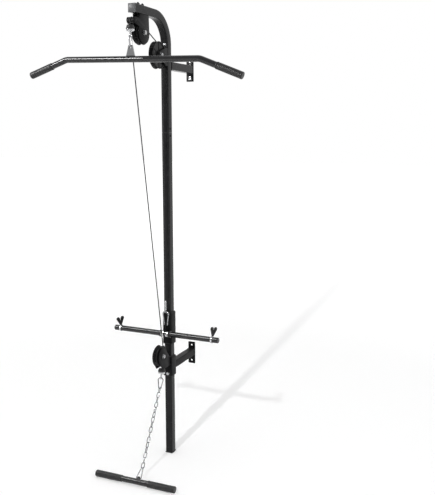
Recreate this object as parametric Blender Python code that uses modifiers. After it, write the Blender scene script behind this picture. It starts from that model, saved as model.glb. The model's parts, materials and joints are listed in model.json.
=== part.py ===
"""Wall-mounted cable pulley tower with a pull-down bar, a sliding weight carriage and a low rowing bar.

Units are metres. The origin is under the middle of the upright's foot, +Z is up, the user is on the -Y side
and the wall stands at WALL_Y.
"""

import math

import bmesh
import bpy
from mathutils import Matrix, Vector

# Frame
TUBE = 0.038
TUBE_WALL = 0.002
HALF_TUBE = TUBE / 2
CORNER = 0.004
HEIGHT = 2.200
ARM_END_Y = -0.310
BEND_RADIUS = 0.125
JOINT_Z = 1.647
WALL_Y = 0.260
CAP_THICKNESS = 0.003
FOOT_THICKNESS = 0.006
GAP = 0.0003

# Wall brackets
PLATE_HEIGHT = 0.120
PLATE_WIDTH = 0.0392
PLATE_THICKNESS = 0.005
PLATE_HOLE_RADIUS = 0.005
PLATE_HOLE_OFFSET = 0.0425
UPPER_BRACKET_Z = 1.962
LOWER_BRACKET_Z = 0.4625
LOWER_ARM_Z = 0.4685
SLEEVE = 0.050
SLEEVE_WALL = 0.003
SLEEVE_CORNER = 0.005
LINER_CORNER = 0.0045
LOWER_SLEEVE_Z = (0.422, 0.523)

# Pulleys: place of the axle in the Y, Z plane, outer radius, radius of the cable's centre
CABLE_RADIUS = 0.0025
CABLE_LEAD = 0.004
ROLLER_AT, ROLLER_RADIUS, ROLLER_CABLE = (-0.312, 2.128), 0.0150, 0.0130
ROLLER_HALF = 0.0145
TOP_AT, TOP_RADIUS, TOP_CABLE = (-0.238, 2.084), 0.0525, 0.0405
GUIDE_AT, GUIDE_RADIUS, GUIDE_CABLE = (-0.087, 2.002), 0.0625, 0.0505
LOW_AT, LOW_RADIUS, LOW_CABLE = (-0.106, 0.552), 0.0530, 0.0425
PULLEY_HALF_WIDTH = 0.0125
PULLEY_STEPS = 18
GROOVE_GAP = 0.0002
AXLE_RADIUS = 0.005
SIDE_INNER = 0.0155
SIDE_THICKNESS = 0.003
SIDE_OUTER = SIDE_INNER + SIDE_THICKNESS
WEB_INSET = 0.0005
ARM_BOLTS_Y = (-0.2565, -0.218)
ARM_BOLT_RADIUS = 0.004

# Pull-down side
PULL_Y = ROLLER_AT[0] - ROLLER_CABLE
STOPPER_TOP_Z = 2.108
STOPPER_HEIGHT = 0.018
CUP_HEIGHT = 0.012
NECK_LENGTH = 0.009
EYE_RADIUS = 0.0065
EYE_WIRE = 0.0021
PLATE_HOLE_Z = 2.0147
LAT_HOLE_RADIUS = 0.0052
HOOK_SEAT = 0.0018
HOOK_WIRE = 0.003
NOSE_AT, HEEL_AT = 0.90, 0.14
LAT_TILT = math.radians(1.70)
LAT_BAR_Z = 1.963
LAT_BAR_SHIFT = -0.002
LAT_STRAIGHT = 0.335
LAT_HALF = 0.528
LAT_DROP = 0.069
BAR_RADIUS = 0.0138
BAR_WALL = 0.002
BAR_RESOLUTION = 3
GRIP_RADIUS = 0.0160
LAT_GRIP_LENGTH = 0.122
LOW_CABLE_TOP = (-0.002, -0.305, 1.974)
LOW_CABLE_SLACK = 0.0085

# Carriage
CARRIAGE_Z = (0.594, 0.751)
GLIDE_LENGTH = 0.030
WEIGHT_BAR_AT = (-0.043, 0.6495)
WEIGHT_BAR_HALF = 0.292
DISC_RADIUS = 0.0172
DISC_X = (0.0195, 0.030)
SPACER_RADIUS = 0.0158
COLLAR_X = 0.257
COLLAR_WIDTH = 0.011
COLLAR_RADIUS = 0.0170
LUG_HALF = 0.004
LUG_HOLE_RADIUS = 0.0056
CARRIAGE_CABLE_Y = GUIDE_AT[0] + GUIDE_CABLE
CARRIAGE_HOOK_TOP = 0.766
CARRIAGE_FERRULE_Z = 0.819

# Row side
ROW_BEND = 0.0036
ROW_STOPPER_AT = (-0.0823, 0.4805)
ROW_LEAN = math.radians(16)
ROW_HOOK_LENGTH = 0.060
CHAIN_END = (-0.2937, 0.043)
CHAIN_LINKS = 16
CHAIN_PITCH = 0.0240
LINK_SEAT = 0.0016
LINK_TURN = math.radians(96)
LINK_WIRE = 0.0021
LINK_WIDTH = 0.0175
ROW_BAR_AT = (0.007, -0.3773, 0.0163)
ROW_BAR_YAW = math.radians(1.05)
ROW_LUG_X = 0.013
ROW_BAR_HALF = 0.208
ROW_GRIP_LENGTH = 0.138

PARTS_NAME = "wall_pulley_tower"
FINISHES = {
    "black_paint": ((0.012, 0.012, 0.013), 0.0, 0.32),
    "black_plastic": ((0.018, 0.018, 0.019), 0.0, 0.48),
    "rubber": ((0.022, 0.022, 0.023), 0.0, 0.75),
    "chrome": ((0.80, 0.80, 0.82), 1.0, 0.12),
    "zinc": ((0.62, 0.63, 0.65), 1.0, 0.30),
    "grey_plastic": ((0.30, 0.31, 0.32), 0.0, 0.45),
    "light_steel": ((0.52, 0.53, 0.55), 1.0, 0.38),
    "cable": ((0.05, 0.05, 0.055), 0.0, 0.40),
}


# Scene and object helpers


def clear_scene():
    """Remove every object of the startup scene."""
    for obj in list(bpy.data.objects):
        bpy.data.objects.remove(obj, do_unlink=True)


def new_collection(name):
    """A new collection in the scene."""
    made = bpy.data.collections.new(name)
    bpy.context.scene.collection.children.link(made)
    return made


clear_scene()
PARTS = new_collection(PARTS_NAME)
CUTTERS = new_collection(PARTS_NAME + "_cutters")


def new_material(name, finish):
    """A Principled material of its own for one sub-part."""
    colour, metallic, roughness = FINISHES[finish]
    material = bpy.data.materials.new(f"{name}_{finish}")
    material.use_nodes = True
    shader = material.node_tree.nodes["Principled BSDF"]
    shader.inputs["Base Color"].default_value = (*colour, 1.0)
    shader.inputs["Metallic"].default_value = metallic
    shader.inputs["Roughness"].default_value = roughness
    return material


def add_part(name, data, finish, matrix=None):
    """Link mesh or curve data as a visible sub-part."""
    obj = bpy.data.objects.new(name, data)
    data.materials.append(new_material(name, finish))
    if matrix is not None:
        obj.matrix_world = matrix
    PARTS.objects.link(obj)
    return obj


def add_helper(name, data, matrix=None):
    """Link mesh or curve data as a hidden cutter or guide."""
    obj = bpy.data.objects.new(name, data)
    obj.hide_render = True
    obj.display_type = "WIRE"
    if matrix is not None:
        obj.matrix_world = matrix
    CUTTERS.objects.link(obj)
    return obj


def add_body(name, location):
    """An empty on the joint of one moving body."""
    empty = bpy.data.objects.new(name, None)
    empty.empty_display_size = 0.03
    empty.location = location
    PARTS.objects.link(empty)
    return empty


def carry(body, *pieces):
    """Parent pieces to a body's empty without moving them."""
    for piece in pieces:
        piece.parent = body
        piece.matrix_parent_inverse = Matrix.Translation(body.location).inverted()


def smooth(mesh, angle=35):
    """Smooth shading with sharp edges above the angle."""
    mesh.shade_smooth()
    mesh.set_sharp_from_angle(angle=math.radians(angle))


def chamfer(obj, width, segments=1, angle=40):
    """Weld and bevel the edges sharper than the angle."""
    weld = obj.modifiers.new("weld", "WELD")
    weld.merge_threshold = 0.00001
    bevel = obj.modifiers.new("bevel", "BEVEL")
    bevel.width = width
    bevel.segments = segments
    bevel.limit_method = "ANGLE"
    bevel.angle_limit = math.radians(angle)


def boolean(obj, other, operation):
    """Cut or join another object, which becomes a hidden helper."""
    step = obj.modifiers.new(operation.lower(), "BOOLEAN")
    step.operation = operation
    step.solver = "EXACT"
    step.object = other
    return obj


def as_mesh(obj):
    """The evaluated, welded mesh of a helper object, which is then removed."""
    graph = bpy.context.evaluated_depsgraph_get()
    matrix = obj.matrix_world.copy()
    mesh = bpy.data.meshes.new_from_object(obj.evaluated_get(graph), depsgraph=graph)
    name = obj.name
    bpy.data.objects.remove(obj, do_unlink=True)
    bm = bmesh.new()
    bm.from_mesh(mesh)
    bmesh.ops.remove_doubles(bm, verts=bm.verts, dist=0.000005)
    bm.to_mesh(mesh)
    bm.free()
    mesh.materials.clear()
    mesh.name = name
    mesh.transform(matrix)
    return mesh


# Shape helpers


def along(origin, direction, side=(1.0, 0.0, 0.0)):
    """A matrix at origin whose local Z runs along direction and local X leans to side."""
    z_axis = Vector(direction).normalized()
    y_axis = z_axis.cross(Vector(side)).normalized()
    x_axis = y_axis.cross(z_axis)
    matrix = Matrix((x_axis, y_axis, z_axis)).transposed().to_4x4()
    matrix.translation = origin
    return matrix


def x_axis_at(x, y, z):
    """A matrix at a point whose local Z runs along the world's X."""
    return along((x, y, z), (1, 0, 0), (0, 0, 1))


def side_plane(x):
    """A matrix whose local X, Y, Z are the world's Y, Z, X."""
    return Matrix(((0, 0, 1, x), (1, 0, 0, 0), (0, 1, 0, 0), (0, 0, 0, 1)))


def front_plane(y):
    """A matrix whose local X, Y, Z are the world's X, Z, -Y."""
    return Matrix(((1, 0, 0, 0), (0, 0, -1, y), (0, 1, 0, 0), (0, 0, 0, 1)))


def on_circle(centre, radius, degrees):
    """The point of a circle in the direction given in degrees."""
    angle = math.radians(degrees)
    return centre[0] + radius * math.cos(angle), centre[1] + radius * math.sin(angle)


def arc(centre, radius, start, end, steps):
    """Points of an arc in degrees, both ends included."""
    turn = (end - start) / max(steps, 1)
    return [on_circle(centre, radius, start + turn * i) for i in range(steps + 1)]


def wrap(centre, radius, start, end, steps):
    """Corners of a path whose straight pieces touch the circle, between two directions in degrees."""
    step = (end - start) / steps
    reach = radius / math.cos(math.radians(step / 2))
    return arc(centre, reach, start + step / 2, end - step / 2, steps - 1)


def bore_for(radius, steps):
    """The bore radius whose flats clear a round piece of this radius by the gap."""
    return (radius + GAP) / math.cos(math.pi / steps)


def circle(centre, radius, steps=16):
    """Points of a full circle."""
    return arc(centre, radius, 0, 360 - 360 / steps, steps - 1)


def rectangle(low, high):
    """The four corners of a rectangle."""
    return [(low[0], low[1]), (high[0], low[1]), (high[0], high[1]), (low[0], high[1])]


def rounded_square(size, radius, steps=2):
    """A square outline with round corners, about the origin."""
    reach = size / 2 - radius
    points = []
    for i, (sx, sy) in enumerate(((1, 1), (-1, 1), (-1, -1), (1, -1))):
        points += arc((sx * reach, sy * reach), radius, 90 * i, 90 * i + 90, steps)
    return points


def poly_curve(name, outlines, cyclic):
    """Curve data with one POLY spline for each list of points."""
    curve = bpy.data.curves.new(name, "CURVE")
    for points in outlines:
        spline = curve.splines.new("POLY")
        spline.points.add(len(points) - 1)
        for point, at in zip(spline.points, points):
            point.co = (*at, 0.0, 1.0) if len(at) == 2 else (*at, 1.0)
        spline.use_cyclic_u = cyclic
    return curve


def plate_data(name, outlines, thickness):
    """A flat outline with its holes as a filled 2D curve, thickness across local Z."""
    curve = poly_curve(name, outlines, True)
    curve.dimensions = "2D"
    curve.fill_mode = "BOTH"
    curve.extrude = thickness / 2
    return curve


def wire_data(name, points, radius, resolution=1, cyclic=False):
    """A round wire or tube along points."""
    curve = poly_curve(name, [points], cyclic)
    curve.dimensions = "3D"
    curve.bevel_depth = radius
    curve.bevel_resolution = resolution
    curve.use_fill_caps = not cyclic
    return curve


def box_mesh(name, low, high):
    """A box mesh between two corners."""
    bm = bmesh.new()
    bmesh.ops.create_cube(bm, size=1.0)
    size = Vector(high) - Vector(low)
    centre = (Vector(high) + Vector(low)) / 2
    bmesh.ops.transform(bm, matrix=Matrix.Translation(centre) @ Matrix.Diagonal((*size, 1.0)), verts=bm.verts)
    mesh = bpy.data.meshes.new(name)
    bm.to_mesh(mesh)
    bm.free()
    return mesh


def cylinder_mesh(name, start, end, radius, sides=12):
    """A capped cylinder mesh from start to end."""
    run = Vector(end) - Vector(start)
    side = (1.0, 0.0, 0.0) if abs(run.normalized().x) < 0.9 else (0.0, 0.0, 1.0)
    matrix = along((Vector(start) + Vector(end)) / 2, run, side)
    bm = bmesh.new()
    bmesh.ops.create_cone(
        bm, cap_ends=True, segments=sides, radius1=radius, radius2=radius, depth=run.length, matrix=matrix
    )
    mesh = bpy.data.meshes.new(name)
    bm.to_mesh(mesh)
    bm.free()
    smooth(mesh)
    return mesh


def turned(name, profile, finish, matrix, steps=24, closed=False):
    """A profile of (radius, height) points, top to bottom, turned about the matrix's Z axis."""
    mesh = bpy.data.meshes.new(name)
    verts = [(radius, 0.0, height) for radius, height in profile]
    edges = [(i, i + 1) for i in range(len(verts) - 1)]
    if closed:
        edges.append((len(verts) - 1, 0))
    mesh.from_pydata(verts, edges, [])
    obj = add_part(name, mesh, finish, matrix) if finish else add_helper(name, mesh, matrix)
    screw = obj.modifiers.new("screw", "SCREW")
    screw.steps = steps
    screw.render_steps = steps
    screw.use_merge_vertices = True
    screw.merge_threshold = 0.00001
    screw.use_smooth_shade = True
    return obj


def square_tube(name, points, size, wall, finish, corner=CORNER):
    """A square hollow section with round corners along points in the Y, Z plane."""
    profile = add_helper(name + "_section", poly_curve(name, [rounded_square(size, corner)], True))
    path = poly_curve(name, [points], False)
    path.dimensions = "3D"
    path.twist_mode = "Z_UP" if len(points) == 2 and points[0][2] == points[1][2] else "MINIMUM"
    path.bevel_mode = "OBJECT"
    path.bevel_object = profile
    guide = add_helper(name + "_guide", path)
    mesh = as_mesh(guide)
    bpy.data.objects.remove(profile, do_unlink=True)
    bm = bmesh.new()
    bm.from_mesh(mesh)
    bmesh.ops.recalc_face_normals(bm, faces=bm.faces)
    bm.to_mesh(mesh)
    bm.free()
    smooth(mesh, 50)
    obj = add_part(name, mesh, finish) if finish else add_helper(name, mesh)
    shell = obj.modifiers.new("wall", "SOLIDIFY")
    shell.thickness = wall
    shell.offset = -1.0
    shell.use_even_offset = True
    return obj


def round_tube(name, points, radius, wall, finish, matrix):
    """A round hollow tube with open ends along points."""
    guide = add_helper(name + "_guide", wire_data(name, points, radius, BAR_RESOLUTION))
    guide.data.use_fill_caps = False
    bpy.context.view_layer.update()
    mesh = as_mesh(guide)
    bm = bmesh.new()
    bm.from_mesh(mesh)
    bmesh.ops.recalc_face_normals(bm, faces=bm.faces)
    bm.to_mesh(mesh)
    bm.free()
    smooth(mesh, 50)
    obj = add_part(name, mesh, finish, matrix)
    shell = obj.modifiers.new("wall", "SOLIDIFY")
    shell.thickness = wall
    shell.offset = -1.0
    shell.use_even_offset = True
    return obj


def pulley(name, at, radius, cable_radius):
    """A grooved pulley with a recessed web on both sides, turned about the X axis."""
    half = PULLEY_HALF_WIDTH
    bore = bore_for(AXLE_RADIUS, PULLEY_STEPS)
    root = cable_radius - CABLE_RADIUS - GROOVE_GAP
    rim = radius - 0.004
    hub = 0.015
    web = 0.006
    profile = [
        (bore, half), (hub, half), (hub, web), (rim - 0.001, web), (rim, half), (radius, half - 0.001),
        (root, 0.0025), (root, -0.0025), (radius, 0.001 - half), (rim, -half), (rim - 0.001, -web),
        (hub, -web), (hub, -half), (bore, -half),
    ]
    return turned(name, profile, "black_plastic", x_axis_at(0, *at), PULLEY_STEPS, closed=True)


def hex_head(name, start, end, width):
    """A six-sided head or nut, width across its flats."""
    return cylinder_mesh(name, start, end, width / math.sqrt(3), 6)


def axle(name, at):
    """A bolt with head, nut, washers and the two spacers that centre the pulley."""
    y, z = at
    spacer = PULLEY_HALF_WIDTH + GAP
    seat = SIDE_OUTER + GAP
    nut_tip, head_tip = SIDE_OUTER + 0.0115, -SIDE_OUTER - 0.0070
    side = [
        (AXLE_RADIUS, seat + 0.0016), (0.0105, seat + 0.0016), (0.0105, seat), (AXLE_RADIUS, seat),
        (AXLE_RADIUS, SIDE_INNER - GAP), (0.0075, SIDE_INNER - GAP), (0.0075, spacer), (AXLE_RADIUS, spacer),
    ]
    profile = [(0.0, nut_tip), (AXLE_RADIUS, nut_tip), *side]
    profile += [(r, -h) for r, h in reversed(side)] + [(AXLE_RADIUS, head_tip), (0.0, head_tip)]
    obj = turned(name, profile, "zinc", x_axis_at(0, y, z), 8)
    head = hex_head(name + "_head", (head_tip - 0.0015, y, z), (0.0008 - seat - 0.0016, y, z), 0.017)
    nut = hex_head(name + "_nut", (seat + 0.0008, y, z), (nut_tip - 0.0017, y, z), 0.019)
    for piece in (head, nut):
        boolean(obj, add_helper(piece.name, piece), "UNION")
    return obj


def side_plates(name, outline, holes, web, finish):
    """A U bracket: two side plates in the Y, Z plane joined by a web box."""
    halves = []
    for sign in (1, -1):
        middle = sign * (SIDE_INNER + SIDE_THICKNESS / 2)
        guide = add_helper(f"{name}_side{sign}", plate_data(name, [outline, *holes], SIDE_THICKNESS))
        guide.matrix_world = side_plane(middle)
        bpy.context.view_layer.update()
        halves.append(as_mesh(guide))
    obj = add_part(name, web, finish)
    for mesh in halves:
        boolean(obj, add_helper(mesh.name, mesh), "UNION")
    return obj


# Frame


def gooseneck_points():
    """The upper tube's centre line, from the arm's end round the bend and down to the joint."""
    top = HEIGHT - HALF_TUBE
    points = [(0.0, ARM_END_Y + CAP_THICKNESS + GAP, top)]
    for y, z in arc((-BEND_RADIUS, top - BEND_RADIUS), BEND_RADIUS, 90, 0, 7):
        points.append((0.0, y, z))
    points.append((0.0, 0.0, JOINT_Z + GAP))
    return points


def make_upright():
    """The bent upper tube with its bolt holes, the straight lower tube and the insert between them."""
    upper = square_tube("upper_tube", gooseneck_points(), TUBE, TUBE_WALL, "black_paint")
    for i, y in enumerate(ARM_BOLTS_Y):
        hole = cylinder_mesh(f"arm_hole_{i}", (0, y, 2.150), (0, y, 2.210), ARM_BOLT_RADIUS + GAP)
        boolean(upper, add_helper(hole.name, hole), "DIFFERENCE")
    low, high = FOOT_THICKNESS + GAP, JOINT_Z - GAP
    square_tube("lower_tube", [(0, 0, low), (0, 0, high)], TUBE, TUBE_WALL, "black_paint")
    size = TUBE - 2 * TUBE_WALL - 0.001
    square_tube("joint_insert", [(0, 0, 1.597), (0, 0, 1.697)], size, TUBE_WALL, "zinc", 0.002)


def make_caps():
    """The arm's end cap and the foot cap, each with a plug that enters its tube."""
    plug = HALF_TUBE - TUBE_WALL - 0.001
    top = HEIGHT - HALF_TUBE
    edge = HALF_TUBE + 0.0003
    front = ARM_END_Y
    face = box_mesh("arm_end_cap", (-edge, front, top - edge), (edge, front + CAP_THICKNESS, top + edge))
    cap = add_part("arm_end_cap", face, "grey_plastic")
    chamfer(cap, 0.001)
    start, reach = front + 0.002, front + 0.018
    stem = box_mesh("arm_plug", (-plug, start, top - plug), (plug, reach, top + plug))
    boolean(cap, add_helper("arm_plug", stem), "UNION")
    edge = HALF_TUBE + 0.0015
    sole = box_mesh("foot_cap", (-edge, -edge, 0.0), (edge, edge, FOOT_THICKNESS))
    foot = add_part("foot_cap", sole, "black_plastic")
    chamfer(foot, 0.001)
    stem = box_mesh("foot_plug", (-plug, -plug, 0.004), (plug, plug, 0.028))
    boolean(foot, add_helper("foot_plug", stem), "UNION")


def wall_plate(name, z):
    """A wall plate with two screw holes, in the plane of the wall."""
    half = PLATE_HEIGHT / 2
    side = PLATE_WIDTH / 2
    outline = [(x, z + dz) for x, dz in rectangle((-side, -half), (side, half))]
    holes = [circle((0.0, z + sign * PLATE_HOLE_OFFSET), PLATE_HOLE_RADIUS, 12) for sign in (1, -1)]
    guide = add_helper(name, plate_data(name, [outline, *holes], PLATE_THICKNESS))
    guide.matrix_world = front_plane(WALL_Y - PLATE_THICKNESS / 2)
    bpy.context.view_layer.update()
    return as_mesh(guide)


def make_wall_brackets():
    """The upper bracket, and the lower one with its sleeve round the upright."""
    plate = wall_plate("upper_plate", UPPER_BRACKET_Z)
    upper = add_part("upper_wall_bracket", plate, "black_paint")
    ends = [(0, HALF_TUBE + GAP, UPPER_BRACKET_Z), (0, WALL_Y - PLATE_THICKNESS + 0.001, UPPER_BRACKET_Z)]
    arm = square_tube("upper_bracket_arm", ends, TUBE, TUBE_WALL, None)
    boolean(upper, arm, "UNION")
    plate = wall_plate("lower_plate", LOWER_BRACKET_Z)
    lower = add_part("lower_wall_bracket", plate, "black_paint")
    ends = [(0, SLEEVE / 2 - 0.001, LOWER_ARM_Z), (0, WALL_Y - PLATE_THICKNESS + 0.001, LOWER_ARM_Z)]
    arm = square_tube("lower_bracket_arm", ends, TUBE, TUBE_WALL, None)
    low, high = LOWER_SLEEVE_Z
    ends = [(0, 0, low), (0, 0, high)]
    sleeve = square_tube("lower_sleeve", ends, SLEEVE, SLEEVE_WALL, None, SLEEVE_CORNER)
    start, end = (0, 0.015, LOWER_ARM_Z), (0, 0.030, LOWER_ARM_Z)
    vent = add_helper("sleeve_vent", cylinder_mesh("sleeve_vent", start, end, 0.006))
    boolean(lower, arm, "UNION")
    boolean(lower, sleeve, "UNION")
    boolean(lower, vent, "DIFFERENCE")
    liner = [(0, 0, low - 0.003), (0, 0, high + 0.003)]
    size = SLEEVE - 2 * SLEEVE_WALL - 2 * GAP
    square_tube("sleeve_liner", liner, size, (size - TUBE) / 2 - GAP, "black_plastic", LINER_CORNER)


def make_clamp_bolt():
    """The bright bolt head low on the sleeve's front."""
    x, z = 0.003, 0.4345
    face = -SLEEVE / 2 - GAP
    washer = cylinder_mesh("clamp_bolt", (x, face, z), (x, face - 0.0016, z), 0.008, 20)
    bolt = add_part("clamp_bolt", washer, "zinc")
    head = hex_head("clamp_head", (x, face - 0.001, z), (x, face - 0.0068, z), 0.013)
    boolean(bolt, add_helper("clamp_head", head), "UNION")


# Pulley brackets


def top_bracket_outline():
    """The side of the top bracket: a hanger round the axle with an ear that reaches to the roller."""
    ear_y, ear_z = ROLLER_AT
    ear = 0.0145
    top = HEIGHT - TUBE - GAP
    outline = [(-0.194, top)]
    outline += arc(TOP_AT, 0.048, 12, -208, 11)
    outline += arc((ear_y, ear_z), ear, -90, -270, 7)
    outline += [(-0.272, ear_z + ear), (-0.272, top)]
    return outline


def make_top_bracket():
    """The bracket under the arm, its two through bolts and the roller's pin."""
    top = HEIGHT - TUBE - GAP
    holes = [circle(TOP_AT, AXLE_RADIUS + GAP, 10), circle(ROLLER_AT, 0.0033, 8)]
    reach, near, far = SIDE_INNER + 0.001, -0.272 + WEB_INSET, -0.194 - WEB_INSET
    web = box_mesh("top_pulley_bracket", (-reach, near, top - 0.0034), (reach, far, top - WEB_INSET))
    bracket = side_plates("top_pulley_bracket", top_bracket_outline(), holes, web, "black_paint")
    for i, y in enumerate(ARM_BOLTS_Y):
        hole = cylinder_mesh(f"web_hole_{i}", (0, y, top - 0.010), (0, y, top + 0.005), ARM_BOLT_RADIUS + GAP)
        boolean(bracket, add_helper(hole.name, hole), "DIFFERENCE")
    for name, y in zip(("arm_bolt_front", "arm_bolt_rear"), ARM_BOLTS_Y):
        under = top - 0.0034 - GAP
        over = HEIGHT + GAP
        shank = cylinder_mesh(name, (0, y, under - 0.004), (0, y, over + 0.0115), ARM_BOLT_RADIUS)
        bolt = add_part(name, shank, "black_paint")
        pieces = [
            hex_head(name + "_head", (0, y, under - 0.0055), (0, y, under), 0.013),
            cylinder_mesh(name + "_washer", (0, y, over), (0, y, over + 0.0016), 0.0085, 20),
            hex_head(name + "_nut", (0, y, over + 0.001), (0, y, over + 0.008), 0.013),
        ]
        for piece in pieces:
            boolean(bolt, add_helper(piece.name, piece), "UNION")
    half = SIDE_OUTER + GAP
    head = [(0.0, half + 0.003), (0.0045, half + 0.0025), (0.006, half), (0.003, half)]
    profile = head + [(r, -h) for r, h in reversed(head)]
    turned("front_roller_pin", profile, "zinc", x_axis_at(0, *ROLLER_AT), 8)


def make_guide_bracket():
    """The bracket on the upright's front that holds the guide pulley."""
    rear = -HALF_TUBE - GAP
    low, high = 1.957, 2.040
    outline = [(rear, low), (-0.036, low)]
    outline += arc(GUIDE_AT, 0.019, -80, -265, 9)
    outline += [(-0.036, high), (rear, high)]
    outline.reverse()
    reach, front = SIDE_INNER + 0.001, rear - 0.0034
    corners = (-reach, front, low + WEB_INSET), (reach, rear - WEB_INSET, high - WEB_INSET)
    web = box_mesh("guide_pulley_bracket", *corners)
    holes = [circle(GUIDE_AT, AXLE_RADIUS + GAP, 10)]
    side_plates("guide_pulley_bracket", outline, holes, web, "black_paint")


def make_low_bracket():
    """The bracket on the lower sleeve's front that holds the low pulley."""
    rear = -SLEEVE / 2 - GAP
    low, high = 0.483, 0.521
    outline = [(rear, low), (-0.108, low), (-0.112, low + 0.004)]
    outline += arc(LOW_AT, 0.042, 215, 60, 8)
    outline += [(rear, high)]
    reach, front = SIDE_INNER + 0.001, rear - 0.0034
    corners = (-reach, front, low + WEB_INSET), (reach, rear - WEB_INSET, high - 2 * WEB_INSET)
    web = box_mesh("low_pulley_bracket", *corners)
    holes = [circle(LOW_AT, AXLE_RADIUS + GAP, 10)]
    side_plates("low_pulley_bracket", outline, holes, web, "black_paint")


def make_pulleys():
    """The front roller and the three pulleys, each on an empty at its axle, with the fixed axles."""
    wide = PULLEY_HALF_WIDTH
    at = x_axis_at(0, *ROLLER_AT)
    root = ROLLER_CABLE - CABLE_RADIUS - GROOVE_GAP
    rim = ROLLER_RADIUS - 0.0015
    profile = [
        (0.0033, ROLLER_HALF), (rim, ROLLER_HALF), (rim, wide - 0.003), (root, 0.0035), (root, -0.0035),
        (rim, 0.003 - wide), (rim, -ROLLER_HALF), (0.0033, -ROLLER_HALF),
    ]
    roller = turned("front_roller", profile, "black_plastic", at, 12, closed=True)
    carry(add_body("front_roller_body", (0, *ROLLER_AT)), roller)
    made = (
        ("top_pulley", TOP_AT, TOP_RADIUS, TOP_CABLE),
        ("guide_pulley", GUIDE_AT, GUIDE_RADIUS, GUIDE_CABLE),
        ("low_pulley", LOW_AT, LOW_RADIUS, LOW_CABLE),
    )
    for name, place, radius, cable in made:
        wheel = pulley(name, place, radius, cable)
        carry(add_body(name + "_body", (0, *place)), wheel)
        axle(name + "_axle", place)


# Cables


def tangent_angle(from_at, from_radius, to_at, to_radius):
    """The direction, in degrees, of the point where a cable over both tops leaves the first circle."""
    dy, dz = to_at[0] - from_at[0], to_at[1] - from_at[1]
    lean = math.atan2(dz, dy) + math.asin((to_radius - from_radius) / math.hypot(dy, dz))
    return math.degrees(lean) + 90


def make_main_cable():
    """The main cable over the roller and two pulleys, with the straight stretches on both sides."""
    first = tangent_angle(ROLLER_AT, ROLLER_CABLE, TOP_AT, TOP_CABLE)
    second = tangent_angle(TOP_AT, TOP_CABLE, GUIDE_AT, GUIDE_CABLE)
    route = [(PULL_Y, ROLLER_AT[1] - CABLE_LEAD)]
    route += wrap(ROLLER_AT, ROLLER_CABLE, 180, first, 5)
    route += wrap(TOP_AT, TOP_CABLE, first, second, 1)
    route += wrap(GUIDE_AT, GUIDE_CABLE, second, 0, 5)
    route += [(CARRIAGE_CABLE_Y, GUIDE_AT[1] - CABLE_LEAD)]
    points = [(0.0, y, z) for y, z in route]
    add_part("main_cable", wire_data("main_cable", points, CABLE_RADIUS), "cable")
    stretch = [(0, PULL_Y, route[0][1] - GAP), (0, PULL_Y, STOPPER_TOP_Z + GAP)]
    front = add_part("main_cable_front", wire_data("main_cable_front", stretch, CABLE_RADIUS), "cable")
    y = CARRIAGE_CABLE_Y
    stretch = [(0, y, route[-1][1] - GAP), (0, y, CARRIAGE_FERRULE_Z + GAP)]
    rear = add_part("main_cable_rear", wire_data("main_cable_rear", stretch, CABLE_RADIUS), "cable")
    return front, rear


def low_cable_angle():
    """The angle in degrees at which the slanting stretch meets the low pulley."""
    dy, dz = LOW_AT[0] - LOW_CABLE_TOP[1], LOW_CABLE_TOP[2] - LOW_AT[1]
    return math.degrees(math.atan2(dy, dz) + math.asin(LOW_CABLE / math.hypot(dy, dz)))


def row_axis(distance):
    """A point on the lower stopper's axis, at a distance above the stopper's top face."""
    y, z = ROW_STOPPER_AT
    return Vector((0.0, y + distance * math.sin(ROW_LEAN), z + distance * math.cos(ROW_LEAN)))


def make_low_cable():
    """The low cable: the slanting stretch, the wrap round the low pulley and the lower stopper's seat."""
    start = low_cable_angle()
    lean = math.radians(start)
    up = Vector((0, -math.sin(lean), math.cos(lean)))
    first = Vector((0.0, *on_circle(LOW_AT, LOW_CABLE, start))) + up * CABLE_LEAD
    corners = wrap(LOW_AT, LOW_CABLE, start, -math.degrees(ROW_LEAN), 2)
    points = [first] + [(0.0, y, z) for y, z in corners] + [row_axis(2 * ROW_BEND)]
    add_part("low_cable", wire_data("low_cable", points, CABLE_RADIUS), "cable")
    x, y, z = LOW_CABLE_TOP
    stretch = [first + up * GAP, (x, y, z - LOW_CABLE_SLACK)]
    upper = add_part("low_cable_upper", wire_data("low_cable_upper", stretch, CABLE_RADIUS), "cable")
    middle = row_axis(ROW_BEND)
    reach = Vector((0.0, CABLE_RADIUS, 0.0))
    ends = [middle + reach, middle - reach]
    seat = add_part("low_cable_row", wire_data("low_cable_row", ends, CABLE_RADIUS), "cable")
    return upper, seat


# Hooks, stoppers and chain


def make_stopper(name, top, direction, side):
    """A rubber cone and the chrome cup under it, with the neck and the eye for the hook."""
    matrix = along(top, [-c for c in direction], side)
    cone = [
        (0.0, 0.0), (0.0125, 0.0), (0.0150, -0.0015), (0.0195, -STOPPER_HEIGHT + 0.001),
        (0.0188, -STOPPER_HEIGHT), (0.0, -STOPPER_HEIGHT),
    ]
    rubber = turned(name + "_stopper", cone, "rubber", matrix, 14)
    base = -STOPPER_HEIGHT - GAP
    low = base - CUP_HEIGHT
    neck = low - NECK_LENGTH
    cup = [
        (0.0, base), (0.0180, base), (0.0185, base - 0.001), (0.0185, low + 0.005), (0.0140, low + 0.0007),
        (0.0050, low), (0.0046, neck - 0.002), (0.0, neck - 0.002),
    ]
    chrome = turned(name + "_cup", cup, "chrome", matrix, 14)
    bpy.context.view_layer.update()
    centre = neck - 0.001 - EYE_RADIUS
    ring = [(x, 0.0, z) for x, z in circle((0.0, centre), EYE_RADIUS, 10)]
    guide = add_helper(name + "_eye", wire_data(name + "_eye", ring, EYE_WIRE, cyclic=True), matrix)
    bpy.context.view_layer.update()
    eye = as_mesh(guide)
    boolean(chrome, add_helper(name + "_eye", eye), "UNION")
    wire_top = matrix @ Vector((0.0, 0.0, centre - EYE_RADIUS + EYE_WIRE + GAP))
    return rubber, chrome, wire_top


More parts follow.
